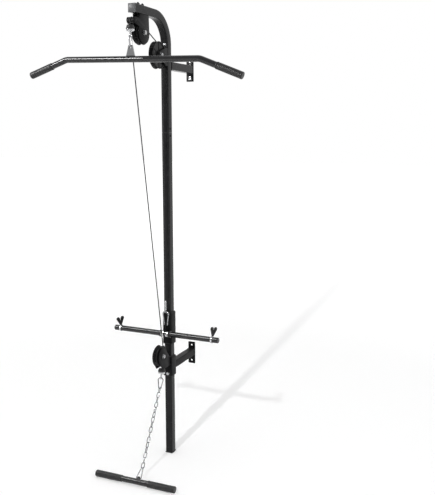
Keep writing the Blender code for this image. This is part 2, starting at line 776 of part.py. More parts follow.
def hook_path(length, wide, narrow, wire):
    """The open centre line of a pear-shaped hook and the two ends of its gate, wide end at the top."""
    big, small = wide / 2 - wire, narrow / 2 - wire
    top = (0.0, -big)
    low = (0.0, small + 2 * wire - length)
    lean = math.degrees(math.asin((big - small) / (top[1] - low[1])))
    right_low = Vector(on_circle(low, small, lean))
    run = Vector(on_circle(top, big, lean)) - right_low
    nose = right_low + run * NOSE_AT
    heel = right_low + run * HEEL_AT
    path = [tuple(heel)]
    path += arc(low, small, lean, -180 - lean, 6)
    path += arc(top, big, 180 - lean, lean, 7)
    path += [tuple(nose)]
    return path, heel, nose


def make_hook(name, matrix, length, wide, narrow, wire):
    """A snap hook and its gate; the matrix sits on the wire at the top with local Z along the hook."""
    path, heel, nose = hook_path(length, wide, narrow, wire)
    points = [(x, 0.0, z) for x, z in path]
    body = add_part(name, wire_data(name, points, wire), "light_steel", matrix)
    pin = wire * 0.85
    run = nose - heel
    unit = run.normalized()
    pivot = heel + unit * (pin + GAP)
    far = run.length - 2 * (pin + GAP)
    profile = [(r, far + h) for h, r in arc((0.0, 0.0), pin, 0, 90, 3)]
    profile += [(r, -h) for h, r in arc((0.0, 0.0), pin, 90, 0, 3)]
    local = along((pivot[0], 0.0, pivot[1]), (unit[0], 0.0, unit[1]), (0, 1, 0))
    gate = turned(name + "_gate", profile, "light_steel", matrix @ local, 8)
    return body, gate, matrix @ Vector((pivot[0], 0.0, pivot[1]))


def link_mesh():
    """One chain link as a welded mesh along local Z, lying in the local X, Z plane."""
    bend = LINK_WIDTH / 2 - LINK_WIRE
    straight = (CHAIN_PITCH + 2 * LINK_WIRE) / 2 - bend
    outline = arc((0.0, straight), bend, 0, 180, 3) + arc((0.0, -straight), bend, 180, 360, 3)
    points = [(x, 0.0, z) for x, z in outline]
    guide = add_helper("link", wire_data("link", points, LINK_WIRE, cyclic=True))
    bpy.context.view_layer.update()
    return as_mesh(guide)


def make_chain(start, end):
    """Interlocked links from start to end, each turned a little over a quarter turn from the one before."""
    run = end - start
    step = run / CHAIN_LINKS
    link = link_mesh()
    sets = (bmesh.new(), bmesh.new())
    for i in range(CHAIN_LINKS):
        side = (math.sin(i * LINK_TURN), math.cos(i * LINK_TURN), 0.0)
        matrix = along(start + step * (i + 0.5), -run, side)
        copy = link.copy()
        copy.transform(matrix)
        sets[i % 2].from_mesh(copy)
    meshes = []
    for bm, label in zip(sets, ("row_chain", "row_chain_even")):
        mesh = bpy.data.meshes.new(label)
        bm.to_mesh(mesh)
        bm.free()
        meshes.append(mesh)
    chain = add_part("row_chain", meshes[0], "light_steel")
    return boolean(chain, add_helper("row_chain_even", meshes[1]), "UNION")


# Pull-down side


def bar_points(half, straight, drop, bend_steps):
    """Centre line of a bar that is straight in the middle and bent down at both ends."""
    lean = math.atan2(drop, half - straight)
    radius = 0.060
    cut = radius * math.tan(lean / 2)
    side = [(straight - cut, 0.0)]
    for i in range(1, bend_steps + 1):
        angle = lean * i / bend_steps
        side.append((straight - cut + radius * math.sin(angle), radius * (math.cos(angle) - 1)))
    side.append((half, -drop))
    left = [(-x, z) for x, z in reversed(side)]
    return left + side, lean


def lat_matrix():
    """The pull-down bar's own frame: local X along the bar, tilted about the hole in its plate."""
    hole = Vector((0.0, PULL_Y, PLATE_HOLE_Z))
    return Matrix.Translation(hole) @ Matrix.Rotation(LAT_TILT, 4, "Y")


def make_grip(name, end, inward, length):
    """A sleeve grip with a closed end, pushed over a bar's end."""
    matrix = along(end, [-c for c in inward], (0, 1, 0))
    steps = 12
    bore = bore_for(BAR_RADIUS, steps)
    outer = GRIP_RADIUS
    profile = [
        (0.0, 0.004), (outer - 0.003, 0.004), (outer, 0.001), (outer, 0.002 - length),
        (outer - 0.001, -length), (bore, -length), (bore, GAP), (0.0, GAP),
    ]
    return turned(name, profile, "rubber", matrix, steps)


def make_pull_down(front_cable, upper_cable):
    """The stopper, cup, hook, plate, bent bar and grips on the main cable's front end."""
    top = Vector((0.0, PULL_Y, STOPPER_TOP_Z))
    rubber, chrome, wire_top = make_stopper("lat", top, (0, 0, -1), (1, 0, 0))
    wire = HOOK_WIRE
    start = wire_top + Vector((0, 0, wire))
    length = start.z + 2 * wire - (PLATE_HOLE_Z + LAT_HOLE_RADIUS - wire - HOOK_SEAT)
    matrix = Matrix.Translation(start) @ Matrix.Rotation(math.radians(90), 4, "Z")
    hook, gate, pivot = make_hook("lat_hook", matrix, length, 0.030, 0.021, wire)
    body = add_body("lat_pull_body", top)
    carry(body, rubber, chrome, hook, front_cable, upper_cable)
    carry(add_body("lat_gate_body", pivot), gate)

    frame = lat_matrix()
    down = LAT_BAR_Z - PLATE_HOLE_Z
    points, lean = bar_points(LAT_HALF, LAT_STRAIGHT, LAT_DROP, 3)
    route = [(x + LAT_BAR_SHIFT, 0.0, z + down) for x, z in points]
    bar = round_tube("lat_bar", route, BAR_RADIUS, BAR_WALL, "black_paint", frame)
    low, high = down + BAR_RADIUS - GAP, LAT_HOLE_RADIUS + 0.003
    outline = [(-0.0215, low), (0.0215, low), (0.0105, high - 0.002), (0.0085, high)]
    outline += [(-0.0085, high), (-0.0105, high - 0.002)]
    outlines = [outline, circle((0, 0), LAT_HOLE_RADIUS, 14)]
    guide = add_helper("lat_plate_guide", plate_data("lat_plate", outlines, 0.006), frame @ front_plane(0.0))
    bpy.context.view_layer.update()
    plate = add_part("lat_plate", as_mesh(guide), "light_steel")
    grips = []
    for label, sign in (("left", -1), ("right", 1)):
        end = frame @ Vector((sign * LAT_HALF + LAT_BAR_SHIFT, 0.0, down - LAT_DROP))
        inward = frame.to_3x3() @ Vector((-sign * math.cos(lean), 0.0, math.sin(lean)))
        grips.append(make_grip(f"lat_grip_{label}", end, inward, LAT_GRIP_LENGTH))
    x, y, z = LOW_CABLE_TOP
    near, far = (x, PULL_Y + 0.003 + GAP, z + 0.010), (x, y + 0.003, z + 0.010)
    stud = cylinder_mesh("low_cable_end", near, far, 0.003)
    fitting = add_part("low_cable_end", stud, "black_plastic")
    top = Vector(LOW_CABLE_TOP)
    slope = (Vector((0.0, LOW_AT[0] + LOW_CABLE, LOW_AT[1])) - top).normalized()
    ferrule = cylinder_mesh("ferrule", top - slope * 0.014, top + slope * 0.0055, 0.0048, 14)
    boolean(fitting, add_helper("ferrule", ferrule), "UNION")
    carry(add_body("lat_bar_body", (0, PULL_Y, PLATE_HOLE_Z)), bar, plate, fitting, *grips)


# Carriage


def make_glide(name, z_lip, z_end):
    """A plastic glide inside one end of the carriage, with a lip outside it."""
    size = SLEEVE - 2 * SLEEVE_WALL - 2 * GAP
    wall = (size - TUBE) / 2 - GAP
    up = 1 if z_lip > z_end else -1
    ends = [(0, 0, z_end), (0, 0, z_lip + up * 0.003)]
    inner = square_tube(name, ends, size, wall, "black_plastic", LINER_CORNER)
    rim = SLEEVE - 0.001
    ends = [(0, 0, z_lip + up * GAP), (0, 0, z_lip + up * 0.004)]
    lip = square_tube(name + "_lip", ends, rim, (rim - size) / 2 + 0.001, None, SLEEVE_CORNER)
    return boolean(inner, lip, "UNION")


def make_collar(name, sign, lean, turn):
    """A chrome collar on the weight bar with its wing screw, leaning about the bar."""
    y, z = WEIGHT_BAR_AT
    half = COLLAR_WIDTH / 2
    at = x_axis_at(sign * COLLAR_X, y, z)
    bore = bore_for(BAR_RADIUS, 16)
    profile = [(bore, half), (COLLAR_RADIUS, half), (COLLAR_RADIUS, -half), (bore, -half)]
    ring = turned(name, profile, "chrome", at, 16, closed=True)
    out = Vector((0.0, math.sin(lean), math.cos(lean)))
    centre = Vector((sign * COLLAR_X, y, z))
    hole = cylinder_mesh(name + "_hole", centre + out * 0.005, centre + out * 0.02, 0.0034, 10)
    boolean(ring, add_helper(name + "_hole", hole), "DIFFERENCE")
    frame = along(centre, out) @ Matrix.Rotation(turn, 4, "Z")
    screw = make_wing_screw(name.replace("collar", "wing_screw"), frame)
    body = add_body(name + "_body", centre)
    carry(body, ring)
    carry(add_body(screw.name + "_body", centre + out * COLLAR_RADIUS), screw)


def make_wing_screw(name, frame):
    """A wing screw along local Z from the bar's axis: a shank, a hub and two flat wings."""
    shank = BAR_RADIUS + 2 * GAP
    seat = COLLAR_RADIUS + GAP
    hub = [
        (0.0, 0.0335), (0.0052, 0.0325), (0.0064, 0.0215), (0.0052, seat), (0.003, seat),
        (0.003, shank), (0.0, shank),
    ]
    screw = turned(name, hub, "black_plastic", frame, 10)
    lobe = (0.0125, 0.0550)
    size = 0.0085
    outline = [(0.0, 0.0200), (0.0052, 0.0205)]
    outline += arc(lobe, size, -25, 155, 5)
    outline += [(0.0, 0.0350)]
    outline += [(-x, z) for x, z in reversed(arc(lobe, size, -25, 155, 5))]
    outline += [(-0.0052, 0.0205)]
    upright = Matrix(((1, 0, 0, 0), (0, 0, -1, 0), (0, 1, 0, 0), (0, 0, 0, 1)))
    guide = add_helper(name + "_wings", plate_data(name + "_wings", [outline], 0.0045), frame @ upright)
    bpy.context.view_layer.update()
    wings = as_mesh(guide)
    return boolean(screw, add_helper(name + "_wings", wings), "UNION")


def make_carriage(rear_cable):
    """The sliding sleeve with its glides, lug, weight bar, spacers, collars, hook and cable end."""
    low, high = CARRIAGE_Z
    ends = [(0, 0, low), (0, 0, high)]
    sleeve = square_tube("carriage_sleeve", ends, SLEEVE, SLEEVE_WALL, "black_paint", SLEEVE_CORNER)
    upper = make_glide("carriage_glide_top", high, high - GLIDE_LENGTH)
    lower = make_glide("carriage_glide_bottom", low, low + GLIDE_LENGTH)
    y, z = WEIGHT_BAR_AT
    wire = 0.0036
    hole_z = 0.6895
    cable_y = CARRIAGE_CABLE_Y
    rear = -SLEEVE / 2 - GAP
    outline = [(rear, 0.627), (-0.034, 0.627)]
    outline += arc((y, z), 0.0187, -75, -190, 8)
    outline += arc((cable_y - 0.001, hole_z + 0.0015), 0.0112, -190, -270, 4)
    outline += [(rear, hole_z + 0.012)]
    holes = [circle((y, z), bore_for(BAR_RADIUS, 20), 20), circle((cable_y, hole_z), LUG_HOLE_RADIUS, 14)]
    flat = plate_data("carriage_lug", [outline, *holes], 2 * LUG_HALF)
    guide = add_helper("lug_guide", flat, side_plane(0.0))
    bpy.context.view_layer.update()
    lug = add_part("carriage_lug", as_mesh(guide), "black_paint")
    half = WEIGHT_BAR_HALF
    outer, inner = DISC_X[1], DISC_X[0]
    disc = DISC_RADIUS
    end = [(0.0, half), (BAR_RADIUS - 0.002, half), (BAR_RADIUS, half - 0.002), (BAR_RADIUS, outer)]
    end += [(disc, outer), (disc, inner), (BAR_RADIUS, inner)]
    profile = end + [(r, -h) for r, h in reversed(end)]
    at = x_axis_at(0, y, z)
    bar = turned("weight_bar", profile, "black_paint", at, 14)
    spacers = []
    for label, sign in (("left", -1), ("right", 1)):
        bore = bore_for(BAR_RADIUS, 14)
        near, far = LUG_HALF + GAP, inner - GAP
        top, base = (far, near) if sign > 0 else (-near, -far)
        ring = [(bore, top), (SPACER_RADIUS, top), (SPACER_RADIUS, base), (bore, base)]
        spacers.append(turned(f"spacer_{label}", ring, "chrome", at, 14, closed=True))
    wire_z = hole_z + LUG_HOLE_RADIUS - wire - HOOK_SEAT
    hook_top = Vector((0.0, cable_y, CARRIAGE_HOOK_TOP - wire))
    length = hook_top.z + wire - (wire_z - wire)
    hook, gate, pivot = make_hook("carriage_hook", Matrix.Translation(hook_top), length, 0.038, 0.025, wire)
    fitting = make_cable_eye("main_cable_end", hook_top, wire)
    body = add_body("carriage_body", (0, 0, low))
    carry(body, sleeve, upper, lower, lug, bar, *spacers, hook, fitting, rear_cable)
    carry(add_body("carriage_gate_body", pivot), gate)
    make_collar("collar_left", -1, math.radians(-10), math.radians(60))
    make_collar("collar_right", 1, math.radians(25), math.radians(20))


def make_cable_eye(name, wire_top, wire):
    """The main cable's end: a ferrule on a teardrop loop that hangs round the hook's top wire."""
    x, y, z = wire_top
    loop = 0.0062
    centre = z + wire + 0.0022 + GAP - loop
    ring = [(0.0, y + a, b) for a, b in circle((0.0, centre), loop, 12)]
    guide = add_helper(name + "_loop", wire_data(name + "_loop", ring, 0.0022, cyclic=True))
    bpy.context.view_layer.update()
    eye = as_mesh(guide)
    start = (0.0, y, centre + loop - 0.001)
    end = (0.0, y, CARRIAGE_FERRULE_Z)
    fitting = add_part(name, cylinder_mesh(name, start, end, 0.0045, 12), "zinc")
    return boolean(fitting, add_helper(name + "_loop", eye), "UNION")


# Row side


def make_row_side(row_cable):
    """The lower stopper, hook, chain, ring and the short bar that lies on the floor."""
    down = Vector((0.0, -math.sin(ROW_LEAN), -math.cos(ROW_LEAN)))
    top = Vector((0.0, *ROW_STOPPER_AT))
    rubber, chrome, wire_top = make_stopper("row", top, down, (0, -math.cos(ROW_LEAN), math.sin(ROW_LEAN)))
    wire = HOOK_WIRE
    matrix = along(wire_top - down * wire, -down, (1, 0, 0))
    hook, gate, pivot = make_hook("row_hook", matrix, ROW_HOOK_LENGTH, 0.035, 0.020, wire)
    seat = row_axis(ROW_BEND)
    carry(add_body("row_pull_body", seat), row_cable)
    carry(add_body("row_swing_body", seat), rubber, chrome, hook)
    carry(add_body("row_gate_body", pivot), gate)
    wire_low = matrix @ Vector((0.0, 0.0, 2 * wire - ROW_HOOK_LENGTH))
    end = Vector((0.0, *CHAIN_END))
    run = (end - wire_low).normalized()
    start = wire_low - run * (wire + LINK_SEAT)
    chain = make_chain(start, end)
    ring_wire = 0.0024
    apex = end - run * (ring_wire + LINK_SEAT)
    x, y, z = ROW_BAR_AT
    hole = Vector((ROW_LUG_X, y + 0.0245, z + 0.0045))
    ring = make_ring("row_ring", apex, hole, ring_wire)
    run = Vector((math.cos(ROW_BAR_YAW), math.sin(ROW_BAR_YAW), 0.0))
    bar = make_row_bar(hole)
    grips = []
    for label, sign in (("left", -1), ("right", 1)):
        tip = Vector((x, y, z)) + run * (sign * ROW_BAR_HALF)
        grips.append(make_grip(f"row_grip_{label}", tip, run * -sign, ROW_GRIP_LENGTH))
    carry(add_body("chain_swing_body", wire_low), chain, ring, bar, *grips)


def make_ring(name, apex, base, wire):
    """A triangular ring from the chain's last link to the hole in the row bar's lug."""
    run = base - apex
    height = run.length
    matrix = Matrix(((1, 0, 0), (0, 1, 0), tuple(-run / height))).transposed().to_4x4()
    half = 0.0135
    corner, crown = 0.005, 0.0066
    outline = [(half, -height + corner)]
    outline += arc((0.0, -crown), crown, 20, 160, 5)
    outline += [(-half, -height + corner)]
    outline += arc((-half + corner, -height + corner), corner, 180, 270, 3)[1:]
    outline += arc((half - corner, -height + corner), corner, 270, 360, 3)[:-1]
    points = [apex + matrix @ Vector((px, 0.0, pz)) for px, pz in outline]
    return add_part(name, wire_data(name, points, wire, cyclic=True), "light_steel")


def make_row_bar(hole):
    """The short bar with the lug that the ring passes through."""
    centre = Vector(ROW_BAR_AT)
    half = Vector((math.cos(ROW_BAR_YAW), math.sin(ROW_BAR_YAW), 0.0)) * ROW_BAR_HALF
    ends = [centre - half, centre + half]
    bar = round_tube("row_bar", ends, BAR_RADIUS, BAR_WALL, "black_paint", None)
    outline = arc((centre.y, centre.z), BAR_RADIUS - BAR_WALL / 2, 62, -52, 4)
    outline += arc((hole.y, hole.z), 0.0085, -60, 100, 6)
    cut = circle((hole.y, hole.z), 0.0042, 14)
    guide = add_helper("row_lug", plate_data("row_lug", [outline, cut], 0.010), side_plane(ROW_LUG_X))
    bpy.context.view_layer.update()
    return boolean(bar, add_helper("row_lug", as_mesh(guide)), "UNION")


def main():
    """Build every sub-part."""
    make_upright()
    make_caps()
    make_wall_brackets()
    make_clamp_bolt()
    make_top_bracket()
    make_guide_bracket()
    make_low_bracket()
    make_pulleys()
    front_cable, rear_cable = make_main_cable()
    upper_cable, row_cable = make_low_cable()
    make_pull_down(front_cable, upper_cable)
    make_carriage(rear_cable)
    make_row_side(row_cable)


main()
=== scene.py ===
"""Looks of the wall pulley tower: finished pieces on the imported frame, studio light and camera."""

import json
import logging
import math
from dataclasses import dataclass, field
from enum import Enum

import bmesh
import bpy
from mathutils import Matrix, Vector


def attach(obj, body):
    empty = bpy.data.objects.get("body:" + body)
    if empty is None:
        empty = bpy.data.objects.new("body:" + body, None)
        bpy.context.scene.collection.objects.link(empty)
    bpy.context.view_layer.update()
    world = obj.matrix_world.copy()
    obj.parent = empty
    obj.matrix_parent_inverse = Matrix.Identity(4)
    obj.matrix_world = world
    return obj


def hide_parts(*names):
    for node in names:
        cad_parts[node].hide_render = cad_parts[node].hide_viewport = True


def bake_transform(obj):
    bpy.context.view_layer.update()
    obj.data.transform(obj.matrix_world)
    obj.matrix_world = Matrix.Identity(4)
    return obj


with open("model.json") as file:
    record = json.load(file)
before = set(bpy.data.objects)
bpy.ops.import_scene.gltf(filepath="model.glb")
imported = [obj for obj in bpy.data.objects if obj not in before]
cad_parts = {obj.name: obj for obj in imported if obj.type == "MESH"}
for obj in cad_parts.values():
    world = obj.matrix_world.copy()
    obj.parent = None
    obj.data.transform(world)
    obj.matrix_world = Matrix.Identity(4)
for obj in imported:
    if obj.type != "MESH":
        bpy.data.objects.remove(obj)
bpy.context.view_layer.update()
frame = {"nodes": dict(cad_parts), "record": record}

LOG = logging.getLogger("tower")
Point = tuple[float, float]
Triple = tuple[float, float, float]
Outline = list[Point]
Profile = tuple[Point, ...]
Bend = tuple[float, float, float, int]  # radius, first and last direction in degrees, steps
Mesh = bpy.types.Mesh
Node = bpy.types.Node
Socket = bpy.types.NodeSocket

# Sizes shared with the solids, in metres. A place in the middle plane is (y, z).
TUBE, CORNER, CORNER_STEPS = 0.038, 0.004, 6
HALF_TUBE = TUBE / 2
HEIGHT, ARM_END_Y, BEND_RADIUS, JOINT_Z = 2.200, -0.310, 0.125, 1.647
ARM_Z, UNDER_ARM = HEIGHT - HALF_TUBE, HEIGHT - TUBE
WALL_Y = 0.260
GAP = 0.0003
SLEEVE, SLEEVE_WALL = 0.050, 0.003
SHELL_OUT, SHELL_IN = (SLEEVE, 0.005), (SLEEVE - 2 * SLEEVE_WALL, 0.0025)
LINER_OUT, LINER_IN = (SLEEVE - 2 * SLEEVE_WALL - 2 * GAP, 0.0045), (TUBE + 2 * GAP, 0.004)
CABLE_RADIUS, CABLE_LEAD = 0.0025, 0.004
GROOVE_PLAY, GROOVE_RADIUS = 0.0002, 0.0028
ROLLER_AT, ROLLER_RADIUS, ROLLER_CABLE, ROLLER_HALF = (-0.312, 2.128), 0.0150, 0.0130, 0.0145
TOP_AT, TOP_RADIUS, TOP_CABLE = (-0.238, 2.084), 0.0525, 0.0405
GUIDE_AT, GUIDE_RADIUS, GUIDE_CABLE = (-0.087, 2.002), 0.0625, 0.0505
LOW_AT, LOW_RADIUS, LOW_CABLE = (-0.106, 0.552), 0.0530, 0.0425
PULLEY_HALF, AXLE_RADIUS = 0.0125, 0.005
SIDE_INNER, SIDE_THICKNESS = 0.0155, 0.003
SIDE_OUTER = SIDE_INNER + SIDE_THICKNESS
PULL_Y = ROLLER_AT[0] - ROLLER_CABLE
BAR_RADIUS, GRIP_RADIUS, BAR_PLAY = 0.0138, 0.0160, 0.0002
PLATE_HOLE_Z, LAT_HOLE_RADIUS = 2.0147, 0.0052
LOW_CABLE_TOP = Vector((-0.002, -0.305, 1.974))
CARRIAGE_CABLE_Y = GUIDE_AT[0] + GUIDE_CABLE
CARRIAGE_LUG_Z, CARRIAGE_LUG_RADIUS, CARRIAGE_HOOK_TOP, CARRIAGE_WIRE = 0.6895, 0.0056, 0.766, 0.0036
ROW_LEAN, ROW_TOP, ROW_BEND = math.radians(16), (-0.0823, 0.4805), 0.0036
ROW_TURN = math.radians(1.05)
ROW_RUN = Vector((math.cos(ROW_TURN), math.sin(ROW_TURN), 0.0))
LUG_HOLE = Vector((0.013, -0.3528, 0.0208))
HOOK_WIRE, HOOK_SEAT = 0.003, 0.0018

# Finer sizes of the looks
TINY = 1e-6
BITE, EDGE, FINE_EDGE, HAIR = 0.001, 0.0006, 0.0004, 0.0002
BEAD_SIDES, EYE_SIDES, WIRE_SIDES, ROUND_STEPS, FERRULE_STEPS, HEAD_STEPS = 10, 14, 16, 32, 36, 40
WASHER_STEPS, BAR_STEPS, RACE_STEPS, CUP_STEPS, WHEEL_STEPS = 48, 56, 64, 72, 96
CORNER_CUTS, COLLAR_CUTS = 5, 4
BRACE_REACH, BRACE_LATHE, BRACE_SWEEP = 0.0008, 0.006, 0.020
FLAT_SHARP, BOLT_SHARP, SOFT_SHARP, BLOCK_SHARP = 20, 25, 35, 60
BOLT_WIDTH, WASHER, NUT_HEIGHT = 0.013, 0.0016, 0.0064
RIPPLE_STEP, RIPPLES = 0.0011, ((0.12, 1.9), (0.05, 0.7))
CUT_SHARE = 0.45
BLANK_SHARE, CHAMFER_SHARE = 0.47, 0.55
THREAD_ROOT, THREAD_TIP = 0.88, 0.8

X_AXIS, Y_AXIS, Z_AXIS = Vector((1, 0, 0)), Vector((0, 1, 0)), Vector((0, 0, 1))
ENDS = (("left", -1), ("right", 1))
WHITE = (1.0, 1.0, 1.0, 1.0)


# Finishes


@dataclass(frozen=True)
class Graph:
    """A node tree, with a short way to add and wire its nodes."""

    tree: bpy.types.NodeTree

    def add(self, kind: str, inputs: dict[str | int, object] | None = None, **settings: str) -> Node:
        """Add one node.

        Args:
            kind: Its type, without ShaderNode in front.
            inputs: What its inputs are set or wired to.
            settings: Properties of the node.

        Returns:
            The node.
        """
        node = self.tree.nodes.new("ShaderNode" + kind)
        for name, value in settings.items():
            setattr(node, name, value)
        self.feed(node, inputs or {})
        return node

    def feed(self, node: Node, inputs: dict[str | int, object]) -> None:
        """Set or wire a node's inputs.

        Args:
            node: The node.
            inputs: For each input a value, a socket, or a node whose first output is used.
        """
        for key, value in inputs.items():
            source = value.outputs[0] if isinstance(value, Node) else value
            if isinstance(source, Socket):
                self.tree.links.new(source, node.inputs[key])
            else:
                node.inputs[key].default_value = source

    def noise(self, where: Socket | Node, scale: float, octaves: float, weight: float) -> Node:
        """Add a noise texture, given its frequency per metre, its octaves and the finer ones' weight."""
        values = {"Vector": where, "Scale": scale, "Detail": octaves, "Roughness": weight}
        return self.add("TexNoise", values)


class Pattern(Enum):
    """Surface detail that a finish carries in its bump."""

    PEEL = "fine orange peel of a powder coat"
    GRAIN = "moulded grain"
    BRUSHED = "fine lines along one axis"
    POLISHED = "faint waviness under a polish"
    STRANDS = "rope strands under a thin coat"


OCTAVES = {Pattern.PEEL: (2.0, 0.5), Pattern.POLISHED: (1.0, 0.5), Pattern.BRUSHED: (3.0, 0.7)}
BRUSH_STRETCH = (1.0, 1.0, 0.04)
STRAND_WAVER = 0.6
DRIFT_NOISE, DRIFT_STOPS = (4.0, 0.6), (0.36, 0.68)
SMUDGE_SCALE, SMUDGE_NOISE, SMUDGE_RANGE = 3.1, (5.0, 0.65), (0.3, 0.7)


@dataclass(frozen=True)
class Finish:
    """One finish of the tower, built as a node material.

    Attributes:
        title: Name of the material.
        slot: Material slot of the record.
        colour: Base colour, linear.
        accent: Colour that the base drifts to in patches.
        metallic: Metallic level.
        roughness: Lowest and highest roughness.
        pattern: Surface detail.
        bump: Height of the detail in metres.
        grain: Frequency of the detail per metre.
        patch: Frequency of the colour drift per metre.
        sheen: Specular level of the surface.
    """

    title: str
    slot: str
    colour: Triple
    accent: Triple
    metallic: float
    roughness: Point
    pattern: Pattern
    bump: float
    grain: float
    patch: float = 22.0
    sheen: float = 0.5

    def material(self) -> bpy.types.Material:
        """The node material of this finish, made once.

        Returns:
            The material.
        """
        made = bpy.data.materials.get(self.title)
        if made:
            return made
        made = bpy.data.materials.new(self.title)
        made.use_nodes = True
        graph = Graph(made.node_tree)
        where = graph.add("TexCoord").outputs["Object"]
        ramp = graph.add("ValToRGB", {"Fac": graph.noise(where, self.patch, *DRIFT_NOISE)})
        for stop, place, colour in zip(ramp.color_ramp.elements, DRIFT_STOPS, (self.colour, self.accent)):
            stop.position, stop.color = place, (*colour, 1.0)
        smudge = graph.noise(where, self.patch * SMUDGE_SCALE, *SMUDGE_NOISE)
        limits = zip(("From Min", "From Max", "To Min", "To Max"), (*SMUDGE_RANGE, *self.roughness))
        spread = graph.add("MapRange", {"Value": smudge, **dict(limits)})
        height = self.detail(graph, where)
        bump = graph.add("Bump", {"Strength": 1.0, "Distance": self.bump, "Height": height})
        graph.feed(graph.tree.nodes["Principled BSDF"], {
            "Metallic": self.metallic, "Specular IOR Level": self.sheen, "Base Color": ramp,
            "Roughness": spread, "Normal": bump})
        return made

    def detail(self, graph: Graph, where: Socket) -> Socket | Node:
        """The height of this finish's pattern.

        Args:
            graph: Node tree to add to.
            where: Socket of the object coordinates.

        Returns:
            A socket, or a node whose first output it is.
        """
        if self.pattern is Pattern.STRANDS:
            ropes = {"Vector": where, "Scale": self.grain, "Distortion": STRAND_WAVER}
            return graph.add("TexWave", ropes, bands_direction="DIAGONAL").outputs["Fac"]
        if self.pattern is Pattern.GRAIN:
            return graph.add("TexVoronoi", {"Vector": where, "Scale": self.grain})
        if self.pattern is Pattern.BRUSHED:
            where = graph.add("Mapping", {"Vector": where, "Scale": BRUSH_STRETCH})
        return graph.noise(where, self.grain, *OCTAVES[self.pattern])


POWDER = Finish("powder_coat_black", "black_paint", (0.0080, 0.0080, 0.0088), (0.0130, 0.0130, 0.0138), 0.0,
                (0.20, 0.29), Pattern.PEEL, 0.00006, 900.0, sheen=0.18)
# A darker, less glossy copy of the black paint for the brackets, sleeves and plates: its lower gloss is a
# finish of its own, its darker base colour is painted shade.
SATIN_PAINTED_SHADE = Finish("satin_black_painted_shade", "black_paint", (0.0060, 0.0060, 0.0066), (0.0100, 0.0100, 0.0106),
               0.0, (0.30, 0.40), Pattern.PEEL, 0.00005, 1000.0, sheen=0.07)
MOULDED = Finish("moulded_plastic_black", "black_plastic", (0.0070, 0.0070, 0.0076),
                 (0.0115, 0.0115, 0.0120), 0.0, (0.36, 0.48), Pattern.GRAIN, 0.00004, 2400.0, 40.0,
                 sheen=0.22)
RUBBER = Finish("rubber_black", "rubber", (0.0085, 0.0085, 0.0090), (0.0140, 0.0140, 0.0145), 0.0,
                (0.34, 0.46), Pattern.GRAIN, 0.00004, 1700.0, 60.0, sheen=0.4)
CHROME = Finish("chrome_plate", "chrome", (0.56, 0.57, 0.58), (0.64, 0.64, 0.65), 1.0,
                (0.05, 0.11), Pattern.POLISHED, 0.00002, 120.0, 60.0)
ZINC = Finish("bright_zinc", "zinc", (0.40, 0.41, 0.43), (0.52, 0.52, 0.51), 1.0,
              (0.18, 0.30), Pattern.PEEL, 0.00003, 1500.0, 90.0)
STEEL = Finish("bright_steel", "light_steel", (0.32, 0.325, 0.335), (0.42, 0.42, 0.43), 1.0,
               (0.16, 0.25), Pattern.BRUSHED, 0.00003, 1600.0, 70.0)
DULL_STEEL = Finish("dull_steel_plate", "light_steel", (0.36, 0.365, 0.375), (0.46, 0.46, 0.465), 1.0,
                    (0.07, 0.11), Pattern.BRUSHED, 0.00001, 1300.0, 60.0)
GREY_CAP = Finish("grey_moulded_cap", "grey_plastic", (0.085, 0.087, 0.090), (0.115, 0.117, 0.120), 0.0,
                  (0.26, 0.34), Pattern.GRAIN, 0.00004, 2200.0, 50.0, sheen=0.15)
GLOSS = Finish("gloss_black_bar", "black_paint", (0.0075, 0.0075, 0.0085), (0.0120, 0.0120, 0.0130), 0.0,
               (0.04, 0.07), Pattern.PEEL, 0.00001, 700.0)
COATED = Finish("coated_rope", "cable", (0.020, 0.020, 0.022), (0.034, 0.034, 0.036), 0.0,
                (0.42, 0.55), Pattern.STRANDS, 0.00010, 120.0, 80.0, sheen=0.2)


# Outlines and matrices


def mid(y: float, z: float) -> Vector:
    """A point of the machine's middle plane."""
    return Vector((0.0, y, z))


def lift(height: float) -> Matrix:
    """A move along Z."""
    return Matrix.Translation((0.0, 0.0, height))


def mirrored(points: Outline) -> Outline:
    """The points backwards, with the sign of their second value changed."""
    return [(first, -second) for first, second in reversed(points)]


def oblong(left: float, right: float, low: float, high: float) -> Outline:
    """The four corners of a rectangle."""
    return [(left, low), (right, low), (right, high), (left, high)]


def on_circle(centre: Point, radius: float, degrees: float) -> Point:
    """The point of a circle in a direction."""
    angle = math.radians(degrees)
    return centre[0] + radius * math.cos(angle), centre[1] + radius * math.sin(angle)


def arc(centre: Point, radius: float, start: float, end: float, steps: int) -> Outline:
    """Points of an arc from one direction to another in degrees, both included."""
    return [on_circle(centre, radius, start + (end - start) * i / steps) for i in range(steps + 1)]


def ring_of(centre: Point, radius: float, steps: int) -> Outline:
    """Points of a full circle."""
    return [on_circle(centre, radius, 360 * i / steps) for i in range(steps)]


def fillet(points: Outline, radius: float, steps: int = 3, closed: bool = True) -> Outline:
    """Round the corners of an outline.

    Args:
        points: Corners.
        radius: Cut on each side of a corner, less where its edges are short.
        steps: Pieces in each rounded corner.
        closed: Whether the last point joins the first.

    Returns:
        The rounded outline.
    """
    made: Outline = []
    count = len(points)
    for i, at in enumerate(points):
        if not closed and i in (0, count - 1):
            made.append(at)
            continue
        corner = Vector(at)
        before = Vector(points[i - 1]) - corner
        after = Vector(points[(i + 1) % count]) - corner
        cut = min(radius, CUT_SHARE * before.length, CUT_SHARE * after.length)
        if cut < TINY:
            continue
        first, last = corner + before.normalized() * cut, corner + after.normalized() * cut
        for k in range(steps + 1):
            t = k / steps
            made.append(tuple(first * (1 - t) ** 2 + corner * 2 * t * (1 - t) + last * t * t))
    return made


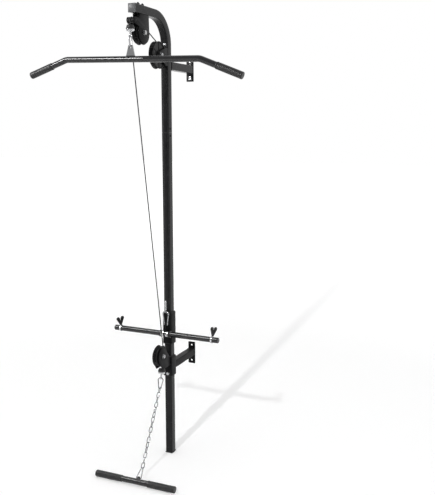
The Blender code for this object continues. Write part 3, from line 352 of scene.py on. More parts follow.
def rounded_square(size: float, radius: float, steps: int) -> Outline:
    """A square with round corners about the origin.

    Args:
        size: Length of a side.
        radius: Corner radius.
        steps: Pieces in each corner.

    Returns:
        The points.
    """
    reach = size / 2 - radius
    made: Outline = []
    for i, (sx, sy) in enumerate(((1, 1), (-1, 1), (-1, -1), (1, -1))):
        made += arc((sx * reach, sy * reach), radius, 90 * i, 90 * i + 90, steps)
    return made


def braced(points: list, sizes: list[float], closed: bool,
           least: float) -> tuple[list[Vector], list[float]]:
    """Add points close to both ends of long straight runs, so that their shading stays flat.

    Args:
        points: Points of a profile or a path.
        sizes: A value carried by each point.
        closed: Whether the last point joins the first.
        least: Shortest run that is braced.

    Returns:
        The points and their values.
    """
    made, carried, count = [], [], len(points)
    for i, point in enumerate(points):
        at, after = Vector(point), (i + 1) % count
        made.append(at)
        carried.append(sizes[i])
        run = Vector(points[after]) - at
        if run.length > least and (closed or after):
            step = run.normalized() * BRACE_REACH
            made += [at + step, at + run - step]
            carried += [sizes[i], sizes[after]]
    return made, carried


def along(origin: Vector, direction: Vector, side: Vector = X_AXIS) -> Matrix:
    """A frame whose Z runs along a direction.

    Args:
        origin: Origin of the frame.
        direction: Direction of its Z.
        side: Direction that its X leans to.

    Returns:
        The matrix.
    """
    z_axis = Vector(direction).normalized()
    y_axis = z_axis.cross(Vector(side)).normalized()
    matrix = Matrix((y_axis.cross(z_axis), y_axis, z_axis)).transposed().to_4x4()
    matrix.translation = origin
    return matrix


def across(y: float, z: float, x: float = 0.0) -> Matrix:
    """A frame at a point whose Z runs along the world's X, for pulleys and bolts."""
    return along(Vector((x, y, z)), X_AXIS, Z_AXIS)


def side_plane(x: float) -> Matrix:
    """A frame whose X, Y, Z are the world's Y, Z, X."""
    return Matrix(((0, 0, 1, x), (1, 0, 0, 0), (0, 1, 0, 0), (0, 0, 0, 1)))


def front_plane(y: float) -> Matrix:
    """A frame whose X, Y, Z are the world's X, Z, -Y."""
    return Matrix(((1, 0, 0, 0), (0, 0, -1, y), (0, 1, 0, 0), (0, 0, 0, 1)))


def linked(name: str, data: bpy.types.ID) -> bpy.types.Object:
    """A new object in the scene.

    Args:
        name: Its name.
        data: Its mesh, curve, lamp or camera.

    Returns:
        The object.
    """
    made = bpy.data.objects.new(name, data)
    bpy.context.scene.collection.objects.link(made)
    return made


# Meshes


class Shape:
    """Mesh builders, each returning mesh data in world space."""

    @staticmethod
    def close(bm: bmesh.types.BMesh, sharp: float = SOFT_SHARP) -> Mesh:
        """Turn faces outward, shade and store a bmesh, which is freed.

        Args:
            bm: The mesh under construction.
            sharp: Edges sharper than this many degrees stay sharp.

        Returns:
            The mesh.
        """
        bmesh.ops.recalc_face_normals(bm, faces=bm.faces)
        mesh = bpy.data.meshes.new("form")
        bm.to_mesh(mesh)
        bm.free()
        mesh.shade_smooth()
        mesh.set_sharp_from_angle(angle=math.radians(sharp))
        return mesh

    @staticmethod
    def merged(meshes: list[Mesh], sharp: float) -> Mesh:
        """Put several meshes, which are removed, in one.

        Args:
            meshes: Meshes to merge.
            sharp: Edges sharper than this many degrees stay sharp.

        Returns:
            The mesh.
        """
        bm = bmesh.new()
        for mesh in meshes:
            bm.from_mesh(mesh)
            bpy.data.meshes.remove(mesh)
        return Shape.close(bm, sharp)

    @staticmethod
    def stack(rings: list[list[Vector]], closed: bool = False, caps: bool = True,
              sharp: float = SOFT_SHARP) -> Mesh:
        """Skin a list of rings.

        Args:
            rings: Rings of equal length, or of one point where the skin comes together.
            closed: Whether the last ring joins the first.
            caps: Whether the end rings are filled.
            sharp: Edges sharper than this many degrees stay sharp.

        Returns:
            The mesh.
        """
        bm = bmesh.new()
        made = [[bm.verts.new(p) for p in ring] for ring in rings]
        for low, high in list(zip(made, made[1:])) + ([(made[-1], made[0])] if closed else []):
            count = max(len(low), len(high))
            for i in range(count):
                j = (i + 1) % count
                corners = [low[i % len(low)], low[j % len(low)], high[j % len(high)], high[i % len(high)]]
                unique = list(dict.fromkeys(corners))
                if len(unique) > 2:
                    bm.faces.new(unique)
        if caps and not closed:
            bm.faces.new(made[0])
            bm.faces.new(made[-1])
        return Shape.close(bm, sharp)

    @staticmethod
    def lathe(profile: Outline | Profile, matrix: Matrix, steps: int = 64, closed: bool = False) -> Mesh:
        """Turn a profile about a frame's Z.

        Args:
            profile: Points of radius and height.
            matrix: The frame.
            steps: Points round a turn.
            closed: Whether the profile is a loop.

        Returns:
            The mesh.
        """
        rings = []
        for radius, height in braced(profile, [1.0] * len(profile), closed, BRACE_LATHE)[0]:
            turn = [(0.0, 0.0)] if radius < TINY else ring_of((0, 0), radius, steps)
            rings.append([matrix @ Vector((x, y, height)) for x, y in turn])
        return Shape.stack(rings, closed, caps=False)

    @staticmethod
    def washer(matrix: Matrix, radii: Point, heights: Point, edge: float, cuts: int = 2,
               steps: int = WASHER_STEPS) -> Mesh:
        """A ring with round edges, or a disc without its lower cap where the inner radius is 0."""
        closed = radii[0] > 0
        return Shape.lathe(fillet(oblong(*radii, *heights), edge, cuts, closed), matrix, steps, closed)

    @staticmethod
    def sweep(path: list[Vector], section: Outline, side: Vector, closed: bool = False,
              scales: list[float] | None = None) -> Mesh:
        """Carry a section along a path that lies in a plane.

        Args:
            path: Points of the path.
            section: Outline; its first axis lies in the path's plane.
            side: Normal of the path's plane.
            closed: Whether the path is a loop.
            scales: Size of the section at each point.

        Returns:
            The mesh.
        """
        path, sizes = braced(path, scales or [1.0] * len(path), closed, BRACE_SWEEP)
        rings, count = [], len(path)
        for i, at in enumerate(path):
            before = path[i - 1] if closed or i else at
            after = path[(i + 1) % count] if closed or i < count - 1 else at
            tangent = (after - before).normalized()
            normal = side.cross(tangent).normalized()
            up = tangent.cross(normal)
            rings.append([at + (normal * a + up * b) * sizes[i] for a, b in section])
        return Shape.stack(rings, closed)

    @staticmethod
    def wire(path: list[Vector], radius: float, side: Vector, closed: bool = False,
             sides: int = WIRE_SIDES, scales: list[float] | None = None) -> Mesh:
        """A round wire along a path in a plane, given the plane's normal and a size at each point."""
        return Shape.sweep(path, ring_of((0, 0), radius, sides), side, closed, scales)

    @staticmethod
    def bead(path: list[Vector], radius: float, side: Vector) -> Mesh:
        """A closed weld bead with the ripples of a hand-laid weld.

        Args:
            path: Points of the loop.
            radius: Radius of the bead.
            side: Normal of the loop's plane.

        Returns:
            The mesh.
        """
        fine: list[Vector] = []
        for at, to in zip(path, path[1:] + path[:1]):
            pieces = max(1, round((to - at).length / RIPPLE_STEP))
            fine += [at.lerp(to, k / pieces) for k in range(pieces)]
        ripples = [1.0 + sum(size * math.sin(i * rate) for size, rate in RIPPLES) for i in range(len(fine))]
        return Shape.wire(fine, radius, side, True, BEAD_SIDES, ripples)

    @staticmethod
    def rod(start: Vector, end: Vector, radius: float, steps: int = ROUND_STEPS,
            edge: float = EDGE) -> Mesh:
        """A straight round rod with broken edges.

        Args:
            start: One end.
            end: The other end.
            radius: Radius.
            steps: Points round a turn.
            edge: Width of the broken edges.

        Returns:
            The mesh.
        """
        run = end - start
        side = X_AXIS if abs(run.normalized().x) < 0.9 else Z_AXIS
        length = run.length
        profile = [(0.0, 0.0), (radius - edge, 0.0), (radius, edge), (radius, length - edge),
                   (radius - edge, length), (0.0, length)]
        return Shape.lathe(profile, along(start, run, side), steps)

    @staticmethod
    def plate(outline: Outline, holes: list[Outline], thickness: float, matrix: Matrix,
              edge: float) -> Mesh:
        """A flat plate with holes and broken edges.

        Args:
            outline: Outline in the frame's X, Y plane.
            holes: Outlines of its holes.
            thickness: Thickness along the frame's Z.
            matrix: The frame.
            edge: Width of the broken edges.

        Returns:
            The mesh.
        """
        curve = bpy.data.curves.new("outline", "CURVE")
        curve.dimensions, curve.fill_mode = "2D", "BOTH"
        curve.extrude, curve.offset = thickness / 2 - edge, -edge
        curve.bevel_depth, curve.bevel_resolution = edge, 1
        for points in [outline, *holes]:
            spline = curve.splines.new("POLY")
            spline.points.add(len(points) - 1)
            for point, at in zip(spline.points, points):
                point.co = (*at, 0.0, 1.0)
            spline.use_cyclic_u = True
        guide = linked("outline", curve)
        graph = bpy.context.evaluated_depsgraph_get()
        graph.update()
        flat = bpy.data.meshes.new_from_object(guide.evaluated_get(graph), depsgraph=graph)
        bpy.data.objects.remove(guide, do_unlink=True)
        bm = bmesh.new()
        bm.from_mesh(flat)
        bmesh.ops.remove_doubles(bm, verts=bm.verts, dist=10 * TINY)
        bmesh.ops.transform(bm, matrix=matrix, verts=bm.verts)
        bpy.data.meshes.remove(flat)
        return Shape.close(bm, FLAT_SHARP)

    @staticmethod
    def block(low: Triple, high: Triple, edge: float, cuts: int = 3) -> Mesh:
        """A box with round edges.

        Args:
            low: Lowest corner.
            high: Highest corner.
            edge: Radius of the edges.
            cuts: Pieces across an edge.

        Returns:
            The mesh.
        """
        bm = bmesh.new()
        bmesh.ops.create_cube(bm, size=1.0)
        size, centre = Vector(high) - Vector(low), (Vector(high) + Vector(low)) / 2
        place = Matrix.Translation(centre) @ Matrix.Diagonal((*size, 1.0))
        bmesh.ops.transform(bm, matrix=place, verts=bm.verts)
        bmesh.ops.bevel(bm, geom=bm.edges[:], offset=edge, segments=cuts, profile=0.5, affect="EDGES")
        return Shape.close(bm, BLOCK_SHARP)

    @staticmethod
    def sleeve(low: float, high: float, outside: Point, inside: Point, edge: float = 0.0007) -> Mesh:
        """A square sleeve round the upright with broken edges.

        Args:
            low: Height of its lower end.
            high: Height of its upper end.
            outside: Outer width and corner radius.
            inside: Inner width and corner radius.
            edge: Width of the broken edges.

        Returns:
            The mesh.
        """
        rim = (outside[0] - 2 * edge, outside[1] - edge)
        levels = ((outside, low + edge), (outside, high - edge), (rim, high), (inside, high), (inside, low),
                  (rim, low))
        rings = [[Vector((x, y, z)) for x, y in rounded_square(*square, CORNER_CUTS)] for square, z in levels]
        return Shape.stack(rings, True)

    @staticmethod
    def hexagon(matrix: Matrix, width: float, height: float, both: bool = True,
                steps: int = WASHER_STEPS) -> Mesh:
        """A bolt head or nut with the rounded chamfer of a turned blank.

        Args:
            matrix: Frame at the middle of its lower face, with Z along the bolt.
            width: Width across the flats.
            height: Height along the bolt.
            both: Whether the lower face is chamfered too.
            steps: Points round a turn, a multiple of 6.

        Returns:
            The mesh.
        """
        far, inner = width / math.sqrt(3), width * BLANK_SHARE
        drop, between = (far - inner) * CHAMFER_SHARE, (far + inner) / 2
        levels = [(0.0, inner if both else far), (drop / 2 if both else 0.0, between), (drop, far),
                  (height - drop, far), (height - drop / 2, between), (height, inner)]
        rings = [[matrix.translation.copy()]]
        for level, limit in levels:
            ring = []
            for i in range(steps):
                angle = 2 * math.pi * i / steps
                flat = (width / 2) / math.cos((angle + math.pi / 6) % (math.pi / 3) - math.pi / 6)
                reach = min(flat, limit)
                ring.append(matrix @ Vector((reach * math.cos(angle), reach * math.sin(angle), level)))
            rings.append(ring)
        rings.append([matrix @ Vector((0.0, 0.0, height))])
        return Shape.stack(rings, caps=False, sharp=BOLT_SHARP)

    @staticmethod
    def thread(matrix: Matrix, radius: float, length: float, pitch: float = 0.00125) -> Mesh:
        """The threaded end of a bolt, as turned ridges with a domed tip.

        Args:
            matrix: Frame at its start, with Z along the bolt.
            radius: Outer radius.
            length: Length.
            pitch: Distance between ridges.

        Returns:
            The mesh.
        """
        root = radius * THREAD_ROOT
        profile: Outline = [(0.0, 0.0), (root, 0.0)]
        height = pitch / 2
        while height + pitch / 2 < length:
            profile += [(radius, height), (root, height + pitch / 2)]
            height += pitch
        profile += [(radius * THREAD_TIP, length - HAIR), (0.0, length)]
        return Shape.lathe(profile, matrix, ROUND_STEPS)


@dataclass
class Assembly:
    """A sub-assembly that puts its pieces on one body of the frame."""

    body: str = "frame"

    def link(self, name: str, form: Mesh | list[Mesh], finish: Finish, node: str = "",
             sharp: float = SOFT_SHARP) -> bpy.types.Object:
        """Add a finished piece to the scene without a body.

        Args:
            name: Name of the piece.
            form: Its mesh in world space, or several to merge.
            finish: Its finish.
            node: CAD node that it stands for.
            sharp: Edges of merged meshes sharper than this many degrees stay sharp.

        Returns:
            The object.
        """
        mesh = Shape.merged(form, sharp) if isinstance(form, list) else form
        mesh.name = name
        mesh.materials.append(finish.material())
        piece = linked(name, mesh)
        if node:
            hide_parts(node)
        LOG.info("%s in %s", piece.name, finish.title)
        return piece

    def put(self, name: str, form: Mesh | list[Mesh], finish: Finish, node: str = "", body: str = "",
            sharp: float = SOFT_SHARP) -> None:
        """Place a finished piece on a body, or on the assembly's own body where none is named."""
        piece = self.link(name, form, finish, node, sharp)
        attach(piece, body or self.body)


# Frame


@dataclass
class Upright(Assembly):
    """The bent upper tube, the lower tube, their caps and the screws at the joint."""

    ends: Point = (0.0063, 0.0033)
    bend_steps: int = 36
    seam: Point = (0.0003, 0.992)
    cap_face: float = 0.003
    plug_inset: float = 0.003
    plug_run: Point = (0.002, 0.018)
    cap_edges: Point = (0.0011, BITE)
    foot: Triple = (0.0015, 0.006, 0.0012)
    screw_heights: Point = (1.630, 1.664)
    screw_head: Profile = ((0.0, 0.0), (0.0062, 0.0), (0.0064, 0.0006), (0.0058, 0.0018), (0.0042, 0.0030),
                           (0.0028, 0.0034), (0.0024, 0.0022), (0.0, 0.0020))

    def build(self) -> None:
        """Build and place every piece."""
        self.tubes()
        self.caps()
        places = [along(Vector((sign * (HALF_TUBE - HAIR), 0.0, z)), X_AXIS * sign, Z_AXIS)
                  for z in self.screw_heights for sign in (1, -1)]
        heads = [Shape.lathe(self.screw_head, at, HEAD_STEPS) for at in places]
        self.put("joint_screws", heads, POWDER)

    def tubes(self) -> None:
        """The two square tubes, a hair thinner where they meet so that the joint shows."""
        foot, start = self.ends[0], ARM_END_Y + self.ends[1]
        seam, thinner = self.seam
        high = JOINT_Z - GAP
        bend = arc((-BEND_RADIUS, ARM_Z - BEND_RADIUS), BEND_RADIUS, 90, 0, self.bend_steps)
        upper = [(start, ARM_Z), (start + BITE, ARM_Z), *bend, (0.0, JOINT_Z + seam), (0.0, JOINT_Z)]
        lower = [(0.0, foot), (0.0, high - seam), (0.0, high)]
        section = rounded_square(TUBE, CORNER, CORNER_STEPS)
        for name, node, route in (("bent_upper_tube", "upper_tube", upper),
                                  ("straight_lower_tube", "lower_tube", lower)):
            scales = [1.0] * (len(route) - 1) + [thinner]
            mesh = Shape.sweep([mid(*at) for at in route], section, X_AXIS, scales=scales)
            self.put(name, mesh, POWDER, node)

    def caps(self) -> None:
        """The grey cap of the arm with its plug, and the black foot."""
        edge, plug = HALF_TUBE + GAP, HALF_TUBE - self.plug_inset
        near, far = (ARM_END_Y + run for run in self.plug_run)
        front = ARM_END_Y + self.cap_face
        face = Shape.block((-edge, ARM_END_Y, ARM_Z - edge), (edge, front, ARM_Z + edge), self.cap_edges[0])
        stem = Shape.block((-plug, near, ARM_Z - plug), (plug, far, ARM_Z + plug), self.cap_edges[1])
        self.put("arm_cap", [face, stem], GREY_CAP, "arm_end_cap")
        lip, height, soft = self.foot
        edge = HALF_TUBE + lip
        sole = Shape.block((-edge, -edge, 0.0), (edge, edge, height), soft)
        self.put("foot", sole, MOULDED, "foot_cap")


@dataclass
class WallBrackets(Assembly):
    """The upper and lower arms to the wall, with plates, sleeve, liner and clamp bolt."""

    upper_z: float = 1.962
    lower_z: float = 0.4685
    lower_plate_z: float = 0.4625
    plate_size: Triple = (0.0392, 0.120, 0.005)
    plate_edges: Point = (0.003, 0.0005)
    hole_radius: float = 0.005
    hole_offset: float = 0.0425
    washer: Point = (0.0040, 0.0014)
    weld_lift: float = 0.0006
    weld_radii: Point = (0.0018, 0.0017)
    weld_start: float = 0.0024
    sleeve_z: Point = (0.422, 0.523)
    liner_out: float = 0.003
    clamp_at: Point = (0.003, 0.4345)
    clamp_washer: float = 0.008
    clamp_head: Point = (0.0014, 0.0054)

    def build(self) -> None:
        """Build and place every piece."""
        low, high = self.sleeve_z
        self.arm("upper", self.upper_z, self.upper_z, HALF_TUBE + GAP, POWDER, [])
        sleeve = Shape.sleeve(low, high, SHELL_OUT, SHELL_IN)
        # The lower arm takes the darker paint copy, whose darker base colour is painted shade.
        self.arm("lower", self.lower_z, self.lower_plate_z, SLEEVE / 2 - BITE, SATIN_PAINTED_SHADE, [sleeve])
        self.washers()
        liner = Shape.sleeve(low - self.liner_out, high + self.liner_out, LINER_OUT, LINER_IN)
        self.put("sleeve_liner_finished", liner, MOULDED, "sleeve_liner")
        self.clamp()

    def arm(self, label: str, z: float, plate_z: float, near: float, finish: Finish,
            more: list[Mesh]) -> None:
        """One bracket: tube, plate and weld beads.

        Args:
            label: upper or lower.
            z: Height of the tube's axis.
            plate_z: Height of the plate's middle.
            near: Where the tube starts at the upright.
            finish: Its finish.
            more: Further meshes welded to it.
        """
        width, height, thick = self.plate_size
        corner, edge = self.plate_edges
        back = WALL_Y - thick
        section = rounded_square(TUBE, CORNER, CORNER_STEPS)
        outline = oblong(-width / 2, width / 2, plate_z - height / 2, plate_z + height / 2)
        holes = [ring_of((0.0, plate_z + sign * self.hole_offset), self.hole_radius, HEAD_STEPS)
                 for sign in (1, -1)]
        plane = front_plane(back + thick / 2)
        pieces = [Shape.sweep([mid(near, z), mid(back + edge, z)], section, X_AXIS),
                  Shape.plate(fillet(outline, corner, CORNER_CUTS), holes, thick, plane, edge)]
        loop = rounded_square(TUBE + self.weld_lift, CORNER, CORNER_CUTS)
        starts = (back - self.weld_lift, max(near, HALF_TUBE) + self.weld_start)
        for y, radius in zip(starts, self.weld_radii):
            pieces.append(Shape.bead([Vector((x, y, z + dz)) for x, dz in loop], radius, Y_AXIS))
        self.put(f"{label}_wall_arm", pieces + more, finish, f"{label}_wall_bracket")

    def washers(self) -> None:
        """Flat washers round the upper plate's holes."""
        wide, thick = self.washer
        radii = (self.hole_radius + HAIR, self.hole_radius + wide)
        places = [along(mid(WALL_Y - self.plate_size[2], self.upper_z + sign * self.hole_offset), -Y_AXIS)
                  for sign in (1, -1)]
        rings = [Shape.washer(at, radii, (0.0, thick), FINE_EDGE) for at in places]
        self.put("upper_plate_washers", rings, ZINC)

    def clamp(self) -> None:
        """The bright bolt low on the sleeve's front."""
        x, z = self.clamp_at
        at = along(Vector((x, -SLEEVE / 2 - GAP, z)), -Y_AXIS)
        base, height = self.clamp_head
        pieces = [Shape.washer(at, (0.0, self.clamp_washer), (0.0, WASHER), FINE_EDGE),
                  Shape.hexagon(at @ lift(base), BOLT_WIDTH, height, both=False)]
        self.put("clamp_bolt_finished", pieces, ZINC, "clamp_bolt", sharp=BOLT_SHARP)


# Pulley brackets and pulleys


@dataclass
class PulleyBrackets(Assembly):
    """The three U brackets, the arm's two bolts, the roller's pin and a screw above the guide pulley."""

    web_half: float = SIDE_INNER + BITE
    web_wall: float = 0.0034
    inset: float = 0.0005
    top_y: Triple = (-0.272, -0.2715, -0.1945)
    top_lobe: Bend = (0.048, 12, -208, 48)
    ear_lobe: Bend = (0.0145, -90, -270, 32)
    pin_hole: tuple[float, int] = (0.0033, 24)
    guide_z: Point = (1.957, 2.040)
    guide_y: float = -0.036
    guide_lobe: Bend = (0.019, 95, 280, 36)
    low_z: Point = (0.483, 0.521)
    low_nose: Profile = ((-0.108, 0.483), (-0.112, 0.487))
    low_lobe: Bend = (0.042, 215, 60, 32)
    bolts_y: Point = (-0.2565, -0.218)
    bolt_radius: float = 0.004
    bolt_washer: float = 0.0085
    bolt_head: float = 0.0055
    bolt_tip: Point = (0.007, 0.0045)
    pin: Profile = ((0.0, 0.0030), (0.0032, 0.0028), (0.0052, 0.0016), (0.006, 0.0), (0.003, 0.0))
    screw_at: Triple = (0.003, HAIR - HALF_TUBE, 2.057)
    screw_head: Profile = ((0.0, 0.0), (0.0076, 0.0), (0.0080, 0.0010), (0.0072, 0.0030), (0.0052, 0.0046),
                           (0.0036, 0.0048), (0.0030, 0.0030), (0.0, 0.0028))

    def build(self) -> None:
        """Build and place every piece."""
        self.top()
        self.guide()
        self.low()
        self.arm_bolts()
        half = SIDE_OUTER + GAP
        head = [(radius, half + height) for radius, height in self.pin]
        pin = Shape.lathe(head + mirrored(head), across(*ROLLER_AT), HEAD_STEPS)
        self.put("roller_pin", pin, MOULDED, "front_roller_pin")

    def bracket(self, label: str, outline: Outline, axle: Point, web: tuple[Point, Point],
                more: tuple[Outline, ...] = ()) -> None:
        """A U bracket of two side plates and a web.

        Args:
            label: top, guide or low.
            outline: Outline of a side plate in the Y, Z plane.
            axle: Centre of the axle's hole.
            web: Lowest and highest y and z of the web.
            more: Further holes.
        """
        holes = [ring_of(axle, AXLE_RADIUS + GAP, ROUND_STEPS), *more]
        pieces = [Shape.block((-self.web_half, *web[0]), (self.web_half, *web[1]), EDGE, 2)]
        for sign in (1, -1):
            plane = side_plane(sign * (SIDE_INNER + SIDE_THICKNESS / 2))
            pieces.append(Shape.plate(outline, holes, SIDE_THICKNESS, plane, self.inset))
        self.put(f"{label}_bracket", pieces, SATIN_PAINTED_SHADE, f"{label}_pulley_bracket")

    def top(self) -> None:
        """The hanger under the arm, with ears that reach to the roller."""
        high, (back, near, far) = UNDER_ARM - GAP, self.top_y
        outline = [(far + self.inset, high)] + arc(TOP_AT, *self.top_lobe)
        outline += arc(ROLLER_AT, *self.ear_lobe) + [(back, ROLLER_AT[1] + self.ear_lobe[0]), (back, high)]
        web = ((near, high - self.web_wall), (far, high - self.inset))
        self.bracket("top", outline, TOP_AT, web, (ring_of(ROLLER_AT, *self.pin_hole),))

    def guide(self) -> None:
        """The bracket on the upright's front, and the bright screw above it."""
        rear, (low, high), inset = -HALF_TUBE - GAP, self.guide_z, self.inset
        outline = [(rear, high), (self.guide_y, high)] + arc(GUIDE_AT, *self.guide_lobe)
        outline += [(self.guide_y, low), (rear, low)]
        web = ((rear - self.web_wall, low + inset), (rear - inset, high - inset))
        self.bracket("guide", outline, GUIDE_AT, web)
        at = along(Vector(self.screw_at), -Y_AXIS)
        self.put("guide_screw", Shape.lathe(self.screw_head, at, HEAD_STEPS), ZINC)

    def low(self) -> None:
        """The bracket on the lower sleeve's front."""
        rear, (low, high), inset = -SLEEVE / 2 - GAP, self.low_z, self.inset
        outline = [(rear, low), *self.low_nose, *arc(LOW_AT, *self.low_lobe), (rear, high)]
        web = ((rear - self.web_wall, low + inset), (rear - inset, high - 2 * inset))
        self.bracket("low", outline, LOW_AT, web)

    def arm_bolts(self) -> None:
        """The two bolts that hold the top bracket under the arm."""
        under, over = UNDER_ARM - self.web_wall - 2 * GAP, HEIGHT + GAP
        tip, length = self.bolt_tip
        for node, y in zip(("arm_bolt_front", "arm_bolt_rear"), self.bolts_y):
            at = Matrix.Translation((0.0, y, 0.0))
            pieces = [
                Shape.rod(mid(y, under - BITE), mid(y, over + 2 * BITE), self.bolt_radius),
                Shape.hexagon(at @ lift(under - self.bolt_head), BOLT_WIDTH, self.bolt_head),
                Shape.washer(at @ lift(over), (0.0, self.bolt_washer), (0.0, WASHER), FINE_EDGE),
                Shape.hexagon(at @ lift(over + WASHER), BOLT_WIDTH, NUT_HEIGHT),
                Shape.thread(at @ lift(over + tip), self.bolt_radius, length),
            ]
            self.put(node + "_finished", pieces, POWDER, node, sharp=BOLT_SHARP)


@dataclass
class Pulley(Assembly):
    """A moulded grooved pulley with ribs and a bearing, on its fixed bolt."""

    place: Point = TOP_AT
    radius: float = TOP_RADIUS
    cable: float = TOP_CABLE
    node: str = "top_pulley"
    ribs: int = 6
    rib: Triple = (0.0014, 0.0018, 0.0006)
    bore: Point = (0.0053, 0.0114)
    recess: float = 0.0012
    hub: Point = (0.015, 0.0015)
    web: float = 0.0085
    rim_wall: Point = (0.004, 0.002)
    groove: tuple[float, float, int] = (122, 238, 10)
    races: tuple[Point, Point] = ((0.0054, 0.0078), (0.0094, 0.0112))
    spacer: float = 0.0075
    washer: float = 0.0105
    ring_edge: float = 0.0003
    nut: Point = (0.0175, 0.0075)
    head: Point = (0.0165, 0.0064)
    tip: Point = (0.007, 0.0024)

    def build(self) -> None:
        """Build the wheel, its bearing and its bolt."""
        self.wheel()
        half = PULLEY_HALF - FINE_EDGE
        at = across(*self.place)
        rings = [Shape.washer(at, radii, (half, -half), self.ring_edge, steps=RACE_STEPS)
                 for radii in self.races]
        self.put(self.node + "_bearing", rings, ZINC, body=self.node)
        self.bolt()

    def wheel(self) -> None:
        """The grooved wheel with ribs between hub and rim."""
        half, rim = PULLEY_HALF, self.radius - self.rim_wall[0]
        (hub, slope), (bore, race) = self.hub, self.bore
        side = [(bore, half - self.recess), (race, half - self.recess), (race, half), (hub, half),
                (hub + slope, self.web), (rim - self.rim_wall[1], self.web), (rim, half),
                (self.radius, half - BITE)]
        root = self.cable - CABLE_RADIUS - GROOVE_PLAY + GROOVE_RADIUS
        loop = side + arc((root, 0.0), GROOVE_RADIUS, *self.groove) + mirrored(side)
        at = across(*self.place)
        pieces = [Shape.lathe(fillet(loop, EDGE, 2), at, WHEEL_STEPS, closed=True)]
        thick, inset, edge = self.rib
        for i in range(self.ribs):
            low, high = (hub - BITE, -thick, inset - half), (rim - BITE, thick, half - inset)
            rib = Shape.block(low, high, edge, 2)
            rib.transform(at @ Matrix.Rotation(2 * math.pi * i / self.ribs, 4, "Z"))
            pieces.append(rib)
        self.put(self.node + "_wheel", pieces, MOULDED, self.node, self.node)

    def bolt(self) -> None:
        """The bolt with head, nut, washers and spacers."""
        at, back = across(*self.place), along(mid(*self.place), -X_AXIS, Z_AXIS)
        near, seat = PULLEY_HALF + GAP, SIDE_OUTER + GAP
        pieces = [Shape.lathe(oblong(0.0, AXLE_RADIUS, -seat, seat), at, HEAD_STEPS)]
        rings = ((self.spacer, (near, SIDE_INNER - GAP), HEAD_STEPS),
                 (self.washer, (seat, seat + WASHER), WASHER_STEPS))
        for matrix in (at, back):
            for outer, heights, steps in rings:
                radii = (AXLE_RADIUS, outer)
                pieces.append(Shape.washer(matrix, radii, heights, self.ring_edge, steps=steps))
        up = lift(seat + WASHER)
        pieces.append(Shape.hexagon(at @ up, *self.nut))
        pieces.append(Shape.thread(at @ up @ lift(self.tip[0]), AXLE_RADIUS, self.tip[1]))
        pieces.append(Shape.hexagon(back @ up, *self.head))
        self.put(self.node + "_bolt", pieces, ZINC, self.node + "_axle", sharp=BOLT_SHARP)


@dataclass
class FrontRoller(Assembly):
    """The small roller at the arm's front, with flanges and a cable groove."""

    body: str = "front_roller"
    flange: Profile = ((0.0, ROLLER_HALF), (0.0, 0.0125), (-0.0012, 0.0116), (-0.0012, 0.0100),
                       (0.0010, 0.0088))
    bore: float = 0.0034
    flange_rise: float = 0.0015
    groove: tuple[float, float, int] = (115, 245, 12)
    soft: float = 0.0005

    def build(self) -> None:
        """Build and place the roller."""
        rim = ROLLER_RADIUS - self.flange_rise
        side = [(self.bore, ROLLER_HALF)] + [(rim + step, height) for step, height in self.flange]
        root = ROLLER_CABLE - CABLE_RADIUS - GROOVE_PLAY + GROOVE_RADIUS
        loop = side + arc((root, 0.0), GROOVE_RADIUS, *self.groove) + mirrored(side)
        mesh = Shape.lathe(fillet(loop, self.soft, 2), across(*ROLLER_AT), RACE_STEPS, closed=True)
        self.put("roller_wheel", mesh, MOULDED, "front_roller")


# Cables


def tangent_angle(from_at: Point, from_radius: float, to_at: Point, to_radius: float) -> float:
    """Direction in degrees of the point where a cable over both circles' tops leaves the first."""
    dy, dz = to_at[0] - from_at[0], to_at[1] - from_at[1]
    return math.degrees(math.atan2(dz, dy) + math.asin((to_radius - from_radius) / math.hypot(dy, dz))) + 90


def row_axis(distance: float) -> Vector:
    """A point on the lower stopper's axis, at a distance above its top face."""
    return mid(ROW_TOP[0] + distance * math.sin(ROW_LEAN), ROW_TOP[1] + distance * math.cos(ROW_LEAN))


